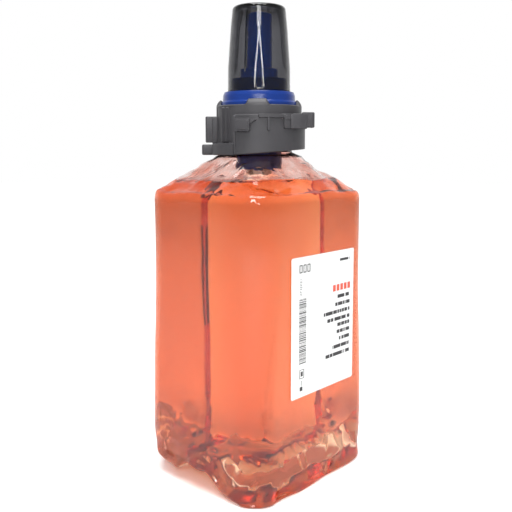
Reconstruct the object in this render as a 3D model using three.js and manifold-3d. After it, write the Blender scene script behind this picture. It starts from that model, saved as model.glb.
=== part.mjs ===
import * as THREE from 'three';
import { LoftGeometry } from 'three/addons/geometries/LoftGeometry.js';
import { mergeVertices } from 'three/addons/utils/BufferGeometryUtils.js';
import Module from 'manifold-3d';

// A hand soap refill pack: a blown bottle of soap that stands on its closed end, with a foaming pump
// and its keyed collar on the neck, and a smoke-grey cap over the nozzle.
// Millimetres. +Z up, origin on the floor under the middle of the body, label on the -Y face.

const wasm = await Module();
wasm.setup();

// Bottle body
const BODY_WIDTH = 102;
const BODY_DEPTH = 87;
const BODY_CORNER_RADIUS = 20;
const BODY_HEIGHT = 159; // floor to the crease under the shoulder
const BOTTLE_WALL = 0.6;
const SHOULDER_EDGE_RADIUS = 7;
const BASE_EDGE_RADIUS = 7;
const ARCH_HEIGHT = 12; // of the channel that runs under the base along X
const ARCH_HALF_WIDTH = 19;
const ARCH_FLAT_HALF_WIDTH = 5; // of the channel's level roof
const BASE_DOME_HEIGHT = 3; // more room over the channel's middle
const BASE_TOP = 34; // where the base has run out into the plain wall
const EDGE_SET_IN = 0.6; // how far the shoulder's edge turns in, as a share of its radius

// Shoulder and neck
const SHOULDER_RISE = 20.5;
const SHOULDER_SHARES = [0, 0.3, 0.65, 1]; // of the way from the body's loop to the circle
const NECK_RADIUS = 18.6;
const NECK_WALL = 1.8;
const NECK_LENGTH = 24.5;
const SHOULDER_TOP_OUT = 5.6; // from the neck's wall to the shoulder's top edge
const NECK_FOOT_RISE = 1.5; // shoulder top to neck foot
const NECK_BEAD_OUT = 2; // from the neck's wall
const NECK_BEAD_HEIGHT = 3;
const NECK_BEAD_RISE = 6; // neck foot to the bead's underside

// Filling and label
const FILL_RISE = 5.5; // from the crease to the soap's surface
const LABEL_WIDTH = 56;
const LABEL_HEIGHT = 75;
const LABEL_THICKNESS = 0.2;
const LABEL_CORNER_RADIUS = 2.5;
const LABEL_CENTRE_X = 3.3;
const LABEL_CENTRE_DROP = 68.5; // from the crease to the label's middle

// Gaps
const SEAT_GAP = 0.3; // between pieces that touch
const SLIDE_GAP = 0.3; // round pieces that slide in each other
const SKIRT_GAP = 0.6; // between the housing's skirt and the collar
const NECK_GAP = 0.8; // between the neck and the housing's skirt
const LAND_GAP = 0.5; // between the neck's bore and the housing's land
const LIP_GAP = 0.4; // between the neck and the collar's lip

// Pump housing
const AIR_BORE_RADIUS = 11.6;
const LIQUID_BORE_RADIUS = 5.2;
const PUMP_WALL = 1.2;
const PISTON_TO_BOSS = 20.8; // from the air piston's plate at rest to the boss's top
const WELL_FLOOR_ROOM = 2.2; // under the stem's foot at full stroke
const FLOOR_THICKNESS = 2.2;
const INTAKE_RADIUS = 2.6;
const FLANGE_TO_RING_TOP = 8.5;
const BOSS_WIDTH = 4.3; // from the air bore to the boss's outer face
const BOSS_HEIGHT = 7.2;
const HOUSING_SKIRT_WALL = 2;
const RING_NECK_SET_IN = 1.3; // from the skirt's outer face
const RING_TOP_SET_IN = 2;
const RING_STEP_DROP = 5.2; // ring top to the step that the tabs hook over
const HOUSING_SKIRT_DROP = 10.3;
const GASKET_THICKNESS = 1.2;
const BOSS_LIP = 0.9; // how far the lip at the mouth of the air bore stands in

// Nozzle and what rides on it
const STROKE = 8;
const NOZZLE_BORE_RADIUS = 5.4;
const NOZZLE_WALL = 1.7;
const NOZZLE_HEIGHT = 30; // column above its skirt
const OUTLET_RADIUS = 4.5;
const NOZZLE_SKIRT_RISE = 5.5; // skirt top above the boss
const NOZZLE_SKIRT_ROOM = 1.1; // between the skirt's foot and the air piston
const NOZZLE_SKIRT_WALL = 1.3;
const STEM_SET_IN = 2.1; // from the liquid bore, which leaves room for the liquid piston
const STEM_WALL = 1.4;
const STEM_REACH = 7.2; // into the liquid well at rest
const PISTON_PLATE_THICKNESS = 1.2;
const SCREEN_HOLDER_LENGTH = 14;
const SCREEN_HOLDER_WALL = 0.9;
const SCREEN_THICKNESS = 0.5;
const SCREEN_GAP = 0.5; // round a screen, in the nozzle's bore
const CAGE_RADIUS = 7;
const CAGE_HEIGHT = 3.2;
const CAGE_SLOT_COUNT = 6;

// Cap
const NOZZLE_TO_CAP_TOP = 4.5;
const CAP_SHOULDER_SET_IN = 1.6; // from the foot's radius
const CAP_SHOULDER_DROP = 13; // top to the level where the taper steepens
const CAP_TOP_SET_IN = 2.8;
const CAP_FOOT_FLARE = 0.35;
const CAP_STRAIGHT = 13; // the foot's cylindrical length, below the taper
const CAP_WALL = 1.2;
const CAP_EDGE_RADIUS = 3;
const CAP_RIB_COUNT = 4;
const CAP_RIB_THICKNESS = 0.8;
const CAP_RIB_DEPTH = 1.6;
const CAP_RIB_ANGLE = -28;

// Collar. Its angles are measured about the axis from the front tab, positive to the tab's right.
const CLOSURE_TURN = -48; // the front tab's direction, measured from the label's direction
const COLLAR_WALL = 1.9;
const COLLAR_TOP_DROP = 2.3; // under the ring's step, so that the tabs reach over it
const COLLAR_FOOT_RISE = 1.6; // above the shoulder's top
const COLLAR_LIP_THICKNESS = 3.2;
const BAND_OUT = 2; // from the collar's tube
const LEDGE_OUT = 3.5;
const TAB_COUNT = 4;
const TAB_FOOT_WIDTH = 14.4;
const TAB_TOP_WIDTH = 11.2;
const TAB_RISE = 3;
const TAB_TURN = -3;
const FOOT_TILT = 4.5; // the collar's foot rises to the right
const BAND_DROP = 5.4; // collar top to the band's top
const BAND_FROM = -30;
const LEDGE_CLEARANCE = 0.5;
const LEDGE_HEIGHT = 6.4;
const WING_RISE = 1.4; // over the band's top
const GROOVE_ANGLES = [-57, -47.5, -37.8];
const GROOVE_HALF_ANGLE = 1.9;
const GROOVE_DEPTH = 1.3;
// What stands out of the band: its angles, how far out, and its foot and top below the band's top.
const COLLAR_RELIEFS = [
  { from: -27, to: -10.5, out: 2.2, foot: 9, top: 2 }, // square block
  { from: -12.5, to: -5, out: 1.3, foot: 5.2, top: 2.4 }, // hook beside it
  { from: -2, to: 31, out: 1.3, foot: 1.6, top: 0.3 }, // thin ledge
  { from: 8.4, to: 12, out: 1.2, foot: 8.6, top: 1 }, // short rib
];

// Smoothness
const ROUND_FACETS = 32;
const SMALL_FACETS = 16;
const CORNER_FACETS = 5;
const LONG_SIDE_FACETS = 7;
const SHORT_SIDE_FACETS = 8;

// Levels that follow from the sizes above
const shoulderTop = BODY_HEIGHT + SHOULDER_RISE;
const neckFoot = shoulderTop + NECK_FOOT_RISE;
const neckTop = shoulderTop + NECK_LENGTH + 0.5;
const fillLevel = BODY_HEIGHT + FILL_RISE;
const labelCentreZ = BODY_HEIGHT - LABEL_CENTRE_DROP;
const flangeFoot = neckTop + GASKET_THICKNESS + 2 * SEAT_GAP;
const ringTop = flangeFoot + FLANGE_TO_RING_TOP;
const ringStep = ringTop - RING_STEP_DROP;
const bossTop = ringTop + BOSS_HEIGHT;
const pistonPlate = bossTop - PISTON_TO_BOSS;
const wellTop = pistonPlate - STROKE - PISTON_PLATE_THICKNESS;
const boreFloor = wellTop - STROKE - STEM_REACH - WELL_FLOOR_ROOM;
const housingFoot = boreFloor - FLOOR_THICKNESS;
const skirtTop = bossTop + NOZZLE_SKIRT_RISE;
const skirtFoot = pistonPlate + PISTON_PLATE_THICKNESS + NOZZLE_SKIRT_ROOM;
const nozzleTop = skirtTop + NOZZLE_HEIGHT;
const capFoot = ringTop + SEAT_GAP;
const capTop = nozzleTop + NOZZLE_TO_CAP_TOP;
const collarFoot = shoulderTop + COLLAR_FOOT_RISE;
const collarTop = ringStep - COLLAR_TOP_DROP;

// Radii that follow, from the neck and the bores outward
const shoulderTopRadius = NECK_RADIUS + SHOULDER_TOP_OUT;
const neckBore = NECK_RADIUS - NECK_WALL;
const ringFootRadius = NECK_RADIUS + NECK_GAP + HOUSING_SKIRT_WALL;
const ringNeckRadius = ringFootRadius - RING_NECK_SET_IN;
const ringTopRadius = ringFootRadius - RING_TOP_SET_IN;
const bossRadius = AIR_BORE_RADIUS + BOSS_WIDTH;
const stemRadius = LIQUID_BORE_RADIUS - STEM_SET_IN;
const nozzleRadius = NOZZLE_BORE_RADIUS + NOZZLE_WALL;
const nozzleInsert = NOZZLE_BORE_RADIUS - SEAT_GAP; // of what is pressed into the nozzle
const capFootRadius = bossRadius + SEAT_GAP + CAP_WALL;
const capShoulderRadius = capFootRadius - CAP_SHOULDER_SET_IN;
const capTopRadius = capFootRadius - CAP_TOP_SET_IN;
const collarLipRadius = NECK_RADIUS + LIP_GAP;
const collarBore = ringFootRadius + SKIRT_GAP;
const collarRadius = collarBore + COLLAR_WALL;
const collarRoot = collarRadius - 0.6; // added pieces start inside the tube's wall
const bandRadius = collarRadius + BAND_OUT;
const ledgeRadius = collarRadius + LEDGE_OUT;

const degrees = THREE.MathUtils.degToRad;

function plastic(color, roughness, opacity = 1) {
  return new THREE.MeshStandardMaterial({
    color, roughness, metalness: 0, opacity, transparent: opacity < 1,
  });
}

const clearPet = plastic(0xf2ece8, 0.08, 0.3);
const orangeSoap = plastic(0xf08a66, 0.05, 0.85);
const paper = plastic(0xf7f7f5, 0.55);
const charcoalPolypropylene = plastic(0x58575b, 0.5);
const bluePolypropylene = plastic(0x24409a, 0.3);
const smokeStyrene = plastic(0x55565a, 0.15, 0.7);
const naturalPolypropylene = plastic(0xe9e9e4, 0.4);
const softElastomer = plastic(0xd8d8d2, 0.6);
const screenMesh = plastic(0xf2f2ee, 0.7);

// A geometry with shared vertices, no collapsed triangles, and its faces pointing out.
function closed(geometry) {
  const bare = new THREE.BufferGeometry();
  bare.setAttribute('position', geometry.getAttribute('position'));
  bare.setIndex(geometry.getIndex());
  const merged = mergeVertices(bare, 1e-4);
  const index = merged.getIndex().array;
  const kept = [];
  for (let i = 0; i < index.length; i += 3) {
    const [a, b, c] = [index[i], index[i + 1], index[i + 2]];
    if (a !== b && b !== c && c !== a) kept.push(a, b, c);
  }
  merged.setIndex(kept);
  if (volumeOf(merged) < 0) {
    for (let i = 0; i < kept.length; i += 3) [kept[i], kept[i + 1]] = [kept[i + 1], kept[i]];
    merged.setIndex(kept);
  }
  return merged;
}

function volumeOf(geometry) {
  const position = geometry.getAttribute('position');
  const index = geometry.getIndex().array;
  const [a, b, c] = [new THREE.Vector3(), new THREE.Vector3(), new THREE.Vector3()];
  let sum = 0;
  for (let i = 0; i < index.length; i += 3) {
    a.fromBufferAttribute(position, index[i]);
    b.fromBufferAttribute(position, index[i + 1]);
    c.fromBufferAttribute(position, index[i + 2]);
    sum += a.dot(b.cross(c)) / 6;
  }
  return sum;
}

function solid(geometry) {
  const whole = closed(geometry);
  const mesh = new wasm.Mesh({
    numProp: 3,
    vertProperties: new Float32Array(whole.getAttribute('position').array),
    triVerts: new Uint32Array(whole.getIndex().array),
  });
  return new wasm.Manifold(mesh);
}

function geometryOf(manifold) {
  const mesh = manifold.getMesh();
  const geometry = new THREE.BufferGeometry();
  geometry.setAttribute('position', new THREE.BufferAttribute(mesh.vertProperties, 3));
  geometry.setIndex(new THREE.BufferAttribute(mesh.triVerts, 1));
  return geometry;
}

// A revolved ring or disc about Z. The profile is a list of [radius, height].
function turned(profile, facets = ROUND_FACETS, from = 0, sweep = 360) {
  const points = profile.map(([r, z]) => new THREE.Vector2(r, z));
  if (profile[0][0] > 0 || profile.at(-1)[0] > 0) points.push(points[0].clone());
  const geometry = new THREE.LatheGeometry(points, facets, degrees(from), degrees(sweep));
  geometry.rotateX(Math.PI / 2);
  return geometry;
}

function tube(outer, inner, foot, top, facets = SMALL_FACETS) {
  return closed(turned([[inner, foot], [outer, foot], [outer, top], [inner, top]], facets));
}

// A flat outline in the XY plane, raised from foot to top.
function raised(shape, foot, top, curveSegments = 8) {
  const geometry = new THREE.ExtrudeGeometry(shape, {
    depth: top - foot, bevelEnabled: false, curveSegments,
  });
  geometry.translate(0, 0, foot);
  return geometry;
}

// An outline in the XZ plane, carried along Y from near to far.
function carried(shape, near, far, curveSegments = 4) {
  const geometry = new THREE.ExtrudeGeometry(shape, {
    depth: far - near, bevelEnabled: false, curveSegments,
  });
  geometry.rotateX(Math.PI / 2);
  geometry.translate(0, far, 0);
  return geometry;
}

function roundedRectangle(x0, y0, x1, y1, radius) {
  const shape = new THREE.Shape();
  shape.moveTo(x0 + radius, y0);
  shape.lineTo(x1 - radius, y0);
  shape.absarc(x1 - radius, y0 + radius, radius, -Math.PI / 2, 0, false);
  shape.lineTo(x1, y1 - radius);
  shape.absarc(x1 - radius, y1 - radius, radius, 0, Math.PI / 2, false);
  shape.lineTo(x0 + radius, y1);
  shape.absarc(x0 + radius, y1 - radius, radius, Math.PI / 2, Math.PI, false);
  shape.lineTo(x0, y0 + radius);
  shape.absarc(x0 + radius, y0 + radius, radius, Math.PI, 1.5 * Math.PI, false);
  return shape;
}

// The bottle's cross-section, as a loop of points set in by a distance from the outer face.
function bodyLoop(inset) {
  const radius = Math.max(BODY_CORNER_RADIUS - inset, 1);
  const halfX = BODY_WIDTH / 2 - inset - radius;
  const halfY = BODY_DEPTH / 2 - inset - radius;
  const loop = [];
  const corners = [[1, 1], [-1, 1], [-1, -1], [1, -1]];
  corners.forEach(([sx, sy], quarter) => {
    for (let i = 0; i <= CORNER_FACETS; i++) {
      const angle = (quarter + i / CORNER_FACETS) * Math.PI / 2;
      loop.push([sx * halfX + radius * Math.cos(angle), sy * halfY + radius * Math.sin(angle)]);
    }
    const [nextX, nextY] = corners[(quarter + 1) % 4];
    const end = loop.at(-1);
    const start = [
      nextX * halfX + radius * Math.cos((quarter + 1) * Math.PI / 2),
      nextY * halfY + radius * Math.sin((quarter + 1) * Math.PI / 2),
    ];
    const steps = quarter % 2 === 0 ? LONG_SIDE_FACETS : SHORT_SIDE_FACETS;
    for (let i = 1; i < steps; i++) {
      const t = i / steps;
      loop.push([end[0] + (start[0] - end[0]) * t, end[1] + (start[1] - end[1]) * t]);
    }
  });
  return loop;
}

// The underside of the base: a channel along X between two long feet, which leave flat pads.
function baseHeight(x, y, inset) {
  const flank = ARCH_HALF_WIDTH - ARCH_FLAT_HALF_WIDTH;
  const across = Math.max(Math.abs(y) - ARCH_FLAT_HALF_WIDTH - inset, 0) / flank;
  if (across >= 1) return 0;
  const along = Math.min(Math.abs(x) / (BODY_WIDTH / 2), 1);
  const height = ARCH_HEIGHT + BASE_DOME_HEIGHT * Math.cos(along * Math.PI / 2);
  return height * Math.cos(across * Math.PI / 2) ** 2;
}

const section = (loop, height) => loop.map(([x, y]) => new THREE.Vector3(x, y, height(x, y)));

// Sections up the base, body and shoulder, set in by a wall or a gap.
function bodySections(inset) {
  const sections = [];
  const flatEdge = bodyLoop(BASE_EDGE_RADIUS + inset * 0.4);
  for (const scale of [0, 0.33, 0.66]) { // the first one is a seam along Y, which closes the base
    const loop = flatEdge.map(([x, y]) => [x * scale, y]);
    sections.push(section(loop, (x, y) => baseHeight(x, y, inset) + inset));
  }
  const arc = BASE_EDGE_RADIUS;
  for (const turn of [0, 30, 60, 90]) {
    const setIn = inset + (arc - inset * 0.6) * (1 - Math.sin(degrees(turn)));
    const rise = inset + (arc - inset) * (1 - Math.cos(degrees(turn)));
    sections.push(section(bodyLoop(setIn), (x, y) => baseHeight(x, y, inset) * (1 - 0.15 * turn / 90) + rise));
  }
  sections.push(section(bodyLoop(inset), () => BASE_TOP));
  const shoulderEdge = BODY_HEIGHT - SHOULDER_EDGE_RADIUS;
  sections.push(section(bodyLoop(inset), () => shoulderEdge));
  for (const turn of [40, 75]) {
    const setIn = inset + SHOULDER_EDGE_RADIUS * (1 - Math.cos(degrees(turn))) * EDGE_SET_IN;
    const rise = (SHOULDER_EDGE_RADIUS - inset * 0.5) * Math.sin(degrees(turn));
    sections.push(section(bodyLoop(setIn), () => shoulderEdge + rise));
  }
  return sections;
}

// The shoulder blends the body's loop into a circle, with straight flanks.
function shoulderSection(inset, share) {
  const topRadius = shoulderTopRadius - inset;
  const loop = bodyLoop(SHOULDER_EDGE_RADIUS * EDGE_SET_IN + inset).map(([x, y]) => {
    const length = Math.hypot(x, y);
    const circle = [x / length * topRadius, y / length * topRadius];
    return [x + (circle[0] - x) * share, y + (circle[1] - y) * share];
  });
  const height = BODY_HEIGHT + 0.6 + (shoulderTop - BODY_HEIGHT - 0.6) * share - inset * 0.9;
  return section(loop, () => height);
}

function neckSection(radius, height) {
  const loop = bodyLoop(0).map(([x, y]) => {
    const length = Math.hypot(x, y);
    return [x / length * radius, y / length * radius];
  });
  return section(loop, () => height);
}

// A closed loft. All of them run down, so that the facets of one wall's two faces lie alike.
function lofted(sections) {
  const middle = new THREE.Vector3(0, 0, sections.at(-1)[0].z);
  const top = sections.at(-1).map(() => middle);
  return closed(new LoftGeometry([...sections, top].reverse()));
}

function bottleGeometry() {
  const beadFoot = neckFoot + NECK_BEAD_RISE;
  const beadTop = beadFoot + NECK_BEAD_HEIGHT;
  const bead = NECK_RADIUS + NECK_BEAD_OUT;
  const outer = lofted([
    ...bodySections(0),
    ...SHOULDER_SHARES.map((share) => shoulderSection(0, share)),
    neckSection(shoulderTopRadius - 3, shoulderTop + 1),
    neckSection(NECK_RADIUS, neckFoot),
    neckSection(NECK_RADIUS, beadFoot),
    neckSection(bead, beadFoot + 0.7),
    neckSection(bead, beadTop - 1),
    neckSection(NECK_RADIUS, beadTop),
    neckSection(NECK_RADIUS, neckTop),
  ]);
  const hollow = lofted([
    ...bodySections(BOTTLE_WALL),
    ...SHOULDER_SHARES.map((share) => shoulderSection(BOTTLE_WALL, share)),
    neckSection(shoulderTopRadius - 3.6, shoulderTop + 0.2),
    neckSection(neckBore, neckFoot - 1.2),
    neckSection(neckBore, neckTop + 1),
  ]);
  return geometryOf(solid(outer).subtract(solid(hollow)));
}

// The soap fills the bottle's inside up to a level surface.
function soapGeometry() {
  const inset = BOTTLE_WALL + SEAT_GAP;
  const full = lofted([
    ...bodySections(inset),
    ...SHOULDER_SHARES.map((share) => shoulderSection(inset, share)),
  ]);
  return geometryOf(solid(full).trimByPlane([0, 0, -1], -fillLevel));
}

function labelGeometry() {
  const x0 = LABEL_CENTRE_X - LABEL_WIDTH / 2;
  const z0 = labelCentreZ - LABEL_HEIGHT / 2;
  const outline = roundedRectangle(x0, z0, x0 + LABEL_WIDTH, z0 + LABEL_HEIGHT, LABEL_CORNER_RADIUS);
  const back = -BODY_DEPTH / 2 - SEAT_GAP;
  return closed(carried(outline, back - LABEL_THICKNESS, back, 2));
}

function gasketGeometry() {
  const foot = neckTop + SEAT_GAP;
  return tube(NECK_RADIUS + 0.1, neckBore - 0.1, foot, foot + GASKET_THICKNESS, ROUND_FACETS);
}

// One moulding: skirt, ring, boss, wide air cylinder, and the narrow liquid well in its floor.
function housingGeometry() {
  const cylinder = AIR_BORE_RADIUS + PUMP_WALL;
  const skirtBore = NECK_RADIUS + NECK_GAP;
  const skirtBottom = flangeFoot - HOUSING_SKIRT_DROP;
  const land = neckBore - LAND_GAP;
  const bossBore = bossRadius - PUMP_WALL;
  const well = LIQUID_BORE_RADIUS + PUMP_WALL;
  const lip = AIR_BORE_RADIUS - BOSS_LIP;
  return closed(turned([
    [skirtBore, flangeFoot], [skirtBore, skirtBottom], [ringFootRadius, skirtBottom],
    [ringFootRadius, ringStep - 0.8], [ringFootRadius - 0.5, ringStep],
    [ringNeckRadius + 0.2, ringStep + 0.2], [ringNeckRadius, ringTop - 1.9],
    [ringTopRadius, ringTop], [bossRadius + 0.4, ringTop], [bossRadius, ringTop + 0.4],
    [bossRadius, bossTop - 0.6], [bossRadius - 0.6, bossTop], [lip + 0.3, bossTop],
    [lip, bossTop - 0.4], [lip, bossTop - 1.4], [AIR_BORE_RADIUS, bossTop - 2.4],
    [AIR_BORE_RADIUS, boreFloor], [well, boreFloor], [well, wellTop - 0.4], [well - 0.4, wellTop],
    [LIQUID_BORE_RADIUS, wellTop], [LIQUID_BORE_RADIUS, boreFloor], [INTAKE_RADIUS, boreFloor],
    [INTAKE_RADIUS, housingFoot], [cylinder - 0.6, housingFoot], [cylinder, housingFoot + 0.6],
    [cylinder, bossTop - PUMP_WALL], [bossBore, bossTop - PUMP_WALL], [bossBore, ringTop - PUMP_WALL],
    [land, ringTop - PUMP_WALL], [land, flangeFoot],
  ]));
}

// A mushroom valve: its stalk passes up through the intake hole, its cap closes the hole's top.
function inletValveGeometry() {
  const seat = boreFloor + SEAT_GAP;
  const rim = LIQUID_BORE_RADIUS - 2 * SLIDE_GAP;
  return closed(turned([
    [0, housingFoot - 1.4], [1.6, housingFoot - 1.4], [1.6, housingFoot - 0.5], [1, housingFoot + 0.2],
    [1, seat - 0.3], [rim - 0.4, seat], [rim, seat + 0.3], [rim - 1.4, seat + 0.9], [0, seat + 1.2],
  ], SMALL_FACETS));
}

function intakeCageGeometry() {
  const top = housingFoot - SEAT_GAP;
  const floor = top - CAGE_HEIGHT;
  const bore = CAGE_RADIUS - 1.2;
  const cup = solid(turned([
    [0, floor], [CAGE_RADIUS - 0.6, floor], [CAGE_RADIUS, floor + 0.6], [CAGE_RADIUS, top],
    [bore, top], [bore, floor + 1], [0, floor + 1],
  ], SMALL_FACETS));
  const slots = [];
  for (let i = 0; i < CAGE_SLOT_COUNT; i++) {
    const slot = raised(roundedRectangle(3, -0.9, CAGE_RADIUS + 1, 0.9, 0.5), floor - 1, top - 0.9, 3);
    slot.rotateZ(i * 2 * Math.PI / CAGE_SLOT_COUNT);
    slots.push(solid(slot));
  }
  return geometryOf(cup.subtract(wasm.Manifold.union(slots)));
}

function nozzleGeometry() {
  const skirt = AIR_BORE_RADIUS - BOSS_LIP - SLIDE_GAP;
  const skirtBore = skirt - NOZZLE_SKIRT_WALL;
  const plate = skirtTop - NOZZLE_SKIRT_WALL;
  return closed(turned([
    [NOZZLE_BORE_RADIUS, plate], [skirtBore, plate], [skirtBore, skirtFoot], [skirt, skirtFoot],
    [skirt, skirtTop - 0.5], [skirt - 0.5, skirtTop], [nozzleRadius + 0.8, skirtTop],
    [nozzleRadius, skirtTop + 0.8], [nozzleRadius - 0.1, nozzleTop - 0.8],
    [nozzleRadius - 0.9, nozzleTop], [OUTLET_RADIUS, nozzleTop], [OUTLET_RADIUS, nozzleTop - 3.4],
    [NOZZLE_BORE_RADIUS, nozzleTop - 4.3],
  ], SMALL_FACETS + 8));
}

const screenTop = nozzleTop - 6.8;
const holderTop = screenTop - SCREEN_THICKNESS - SEAT_GAP;
const holderFoot = holderTop - SCREEN_HOLDER_LENGTH;
const stemTop = skirtTop + 0.5;

function screenGeometry(top) {
  const radius = NOZZLE_BORE_RADIUS - SCREEN_GAP;
  const disc = new THREE.CylinderGeometry(radius, radius, SCREEN_THICKNESS, SMALL_FACETS);
  disc.rotateX(Math.PI / 2);
  disc.translate(0, 0, top - SCREEN_THICKNESS / 2);
  return closed(disc);
}

function screenHolderGeometry() {
  return tube(nozzleInsert, nozzleInsert - SCREEN_HOLDER_WALL, holderFoot, holderTop);
}

function mixingRingGeometry() {
  const top = holderFoot - SCREEN_THICKNESS - 2 * SEAT_GAP;
  const foot = stemTop + 2.6;
  return closed(turned([
    [3.4, foot], [nozzleInsert, foot], [nozzleInsert, top], [2.6, top], [1.9, top - 0.8], [3.4, foot + 1.4],
  ], SMALL_FACETS));
}

function outletValveGeometry() {
  const foot = stemTop + SEAT_GAP;
  const rim = NOZZLE_BORE_RADIUS - 1;
  return closed(turned([
    [1, foot], [rim, foot], [rim, foot + 0.8], [2.6, foot + 0.9], [1.2, foot + 2],
    [0.5, foot + 2], [0.5, foot + 1.4],
  ], SMALL_FACETS));
}

// The stem's head fits the nozzle's bore, and its foot carries the liquid piston.
function stemGeometry() {
  const bore = stemRadius - STEM_WALL;
  const foot = wellTop - STEM_REACH;
  return closed(turned([
    [bore, foot], [stemRadius - 0.4, foot], [stemRadius, foot + 0.5],
    [stemRadius, stemTop - 6], [nozzleInsert, stemTop - 5], [nozzleInsert, stemTop], [bore, stemTop],
  ], SMALL_FACETS));
}

function liquidPistonGeometry() {
  const foot = wellTop - 8;
  const bore = stemRadius + SEAT_GAP;
  const rim = LIQUID_BORE_RADIUS - SLIDE_GAP;
  return closed(turned([
    [bore, foot], [rim - 0.7, foot], [rim, foot - 0.6], [rim, foot + 0.6], [rim - 0.6, foot + 1.4],
    [rim - 0.6, foot + 3.4], [rim, foot + 4.4], [rim - 0.7, foot + 4.8], [bore, foot + 4.2],
  ], SMALL_FACETS));
}

// A deep sealing cup on the stem. Its rim is the widest thing in the air bore.
function airPistonGeometry() {
  const bore = stemRadius + SEAT_GAP;
  const rim = AIR_BORE_RADIUS - SLIDE_GAP;
  const wall = rim - 1.2;
  const plateTop = pistonPlate + PISTON_PLATE_THICKNESS;
  return closed(turned([
    [bore, pistonPlate], [wall - 0.9, pistonPlate], [wall - 0.6, pistonPlate - 3.4],
    [rim, pistonPlate - 4.2], [rim, pistonPlate - 2.8], [wall + 0.3, pistonPlate - 1.4],
    [wall + 0.3, plateTop], [bore + 1.2, plateTop], [bore + 1.2, plateTop + 4], [bore, plateTop + 4],
  ], SMALL_FACETS + 8));
}

function airValveGeometry() {
  const bore = stemRadius + SEAT_GAP + 1.2 + SEAT_GAP;
  const foot = pistonPlate + PISTON_PLATE_THICKNESS + SEAT_GAP;
  return closed(turned([
    [bore, foot], [8.2, foot + 0.1], [8.2, foot + 0.6], [bore + 1, foot + 0.9], [bore, foot + 2],
  ], SMALL_FACETS));
}

function overcapGeometry() {
  const taperFoot = capFoot + CAP_STRAIGHT;
  const edge = CAP_EDGE_RADIUS;
  const inner = CAP_WALL;
  const outerArc = [0, 30, 60, 90].map((turn) => [
    capTopRadius - edge + edge * Math.cos(degrees(turn)),
    capTop - 0.6 - edge + edge * Math.sin(degrees(turn)),
  ]);
  const shell = solid(turned([
    [capFootRadius - inner, capFoot], [capFootRadius + CAP_FOOT_FLARE, capFoot],
    [capFootRadius, capFoot + 1.2], [capFootRadius - 0.1, taperFoot],
    [capShoulderRadius, capTop - CAP_SHOULDER_DROP], ...outerArc, [6, capTop - 0.1], [0, capTop],
    [0, capTop - inner - 0.4], [capTopRadius - edge - 0.5, capTop - inner - 0.8],
    [capTopRadius - inner - 0.3, capTop - edge - 1],
    [capShoulderRadius - inner, capTop - CAP_SHOULDER_DROP], [capFootRadius - inner - 0.1, taperFoot],
  ], ROUND_FACETS));
  const ribs = [];
  const ribTop = capTop - inner - 1.2;
  for (let i = 0; i < CAP_RIB_COUNT; i++) {
    const outline = new THREE.Shape();
    outline.moveTo(capFootRadius - inner + 0.1, taperFoot - 3);
    outline.lineTo(capTopRadius - inner, ribTop + 0.8);
    outline.lineTo(capTopRadius - inner - 2 * CAP_RIB_DEPTH, ribTop + 0.8);
    outline.lineTo(capTopRadius - inner - CAP_RIB_DEPTH, ribTop - 3);
    outline.lineTo(capFootRadius - inner - CAP_RIB_DEPTH, taperFoot + 1);
    const rib = carried(outline, -CAP_RIB_THICKNESS / 2, CAP_RIB_THICKNESS / 2);
    rib.rotateZ(degrees(CAP_RIB_ANGLE - 90 + i * 360 / CAP_RIB_COUNT));
    ribs.push(solid(rib));
  }
  return geometryOf(wasm.Manifold.union([shell, ...ribs]));
}

// A band round the collar between two angles, raised from foot to top.
function arcBand(inner, outer, fromAngle, toAngle, foot, top) {
  const from = degrees(fromAngle - 90);
  const to = degrees(toAngle - 90);
  const shape = new THREE.Shape();
  shape.absarc(0, 0, outer, from, to, false);
  shape.absarc(0, 0, inner, to, from, true);
  const segments = Math.max(2, Math.ceil((toAngle - fromAngle) / 9));
  return solid(raised(shape, foot, top, segments));
}

function plate(points, foot, top) {
  const shape = new THREE.Shape(points.map(([x, y]) => new THREE.Vector2(x, y)));
  return solid(raised(shape, foot, top));
}

function collarTube() {
  const lipTop = collarFoot + COLLAR_LIP_THICKNESS;
  return solid(turned([
    [collarLipRadius, collarFoot + 1], [collarLipRadius + 1, collarFoot],
    [collarRadius, collarFoot], [collarRadius, collarTop - 0.6], [collarRadius - 0.5, collarTop],
    [collarBore + 0.3, collarTop], [collarBore, collarTop - 0.4], [collarBore, lipTop + 1.2],
    [collarLipRadius, lipTop],
  ], ROUND_FACETS + 8));
}

// A snap tab leans in over the ring's step and narrows to its top.
function collarTab(index) {
  const foot = collarTop - 0.8;
  const top = collarTop + TAB_RISE;
  const hook = ringNeckRadius + 0.6;
  const ring = solid(turned([
    [collarBore, foot], [collarRadius, foot], [collarRadius, collarTop + 1.2],
    [collarRadius - 0.7, top - 0.8], [collarRadius - 1.6, top], [hook + 0.5, top],
    [hook, top - 0.6], [hook, ringStep + 0.9], [collarBore, ringStep + 0.3],
  ], ROUND_FACETS + 8));
  const outline = new THREE.Shape();
  outline.moveTo(-TAB_FOOT_WIDTH / 2, foot - 1);
  outline.lineTo(TAB_FOOT_WIDTH / 2, foot - 1);
  outline.lineTo(TAB_FOOT_WIDTH / 2, foot + 0.9);
  outline.lineTo(TAB_TOP_WIDTH / 2, top - 0.6);
  outline.lineTo(TAB_TOP_WIDTH / 2 - 0.6, top + 1);
  outline.lineTo(-TAB_TOP_WIDTH / 2 + 0.6, top + 1);
  outline.lineTo(-TAB_TOP_WIDTH / 2, top - 0.6);
  outline.lineTo(-TAB_FOOT_WIDTH / 2, foot + 0.9);
  const wellInside = -10; // nearer the axis than any tab
  const window = solid(carried(outline, -collarRadius - 2, wellInside));
  return ring.intersect(window).rotate([0, 0, TAB_TURN + index * 360 / TAB_COUNT]);
}

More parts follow.
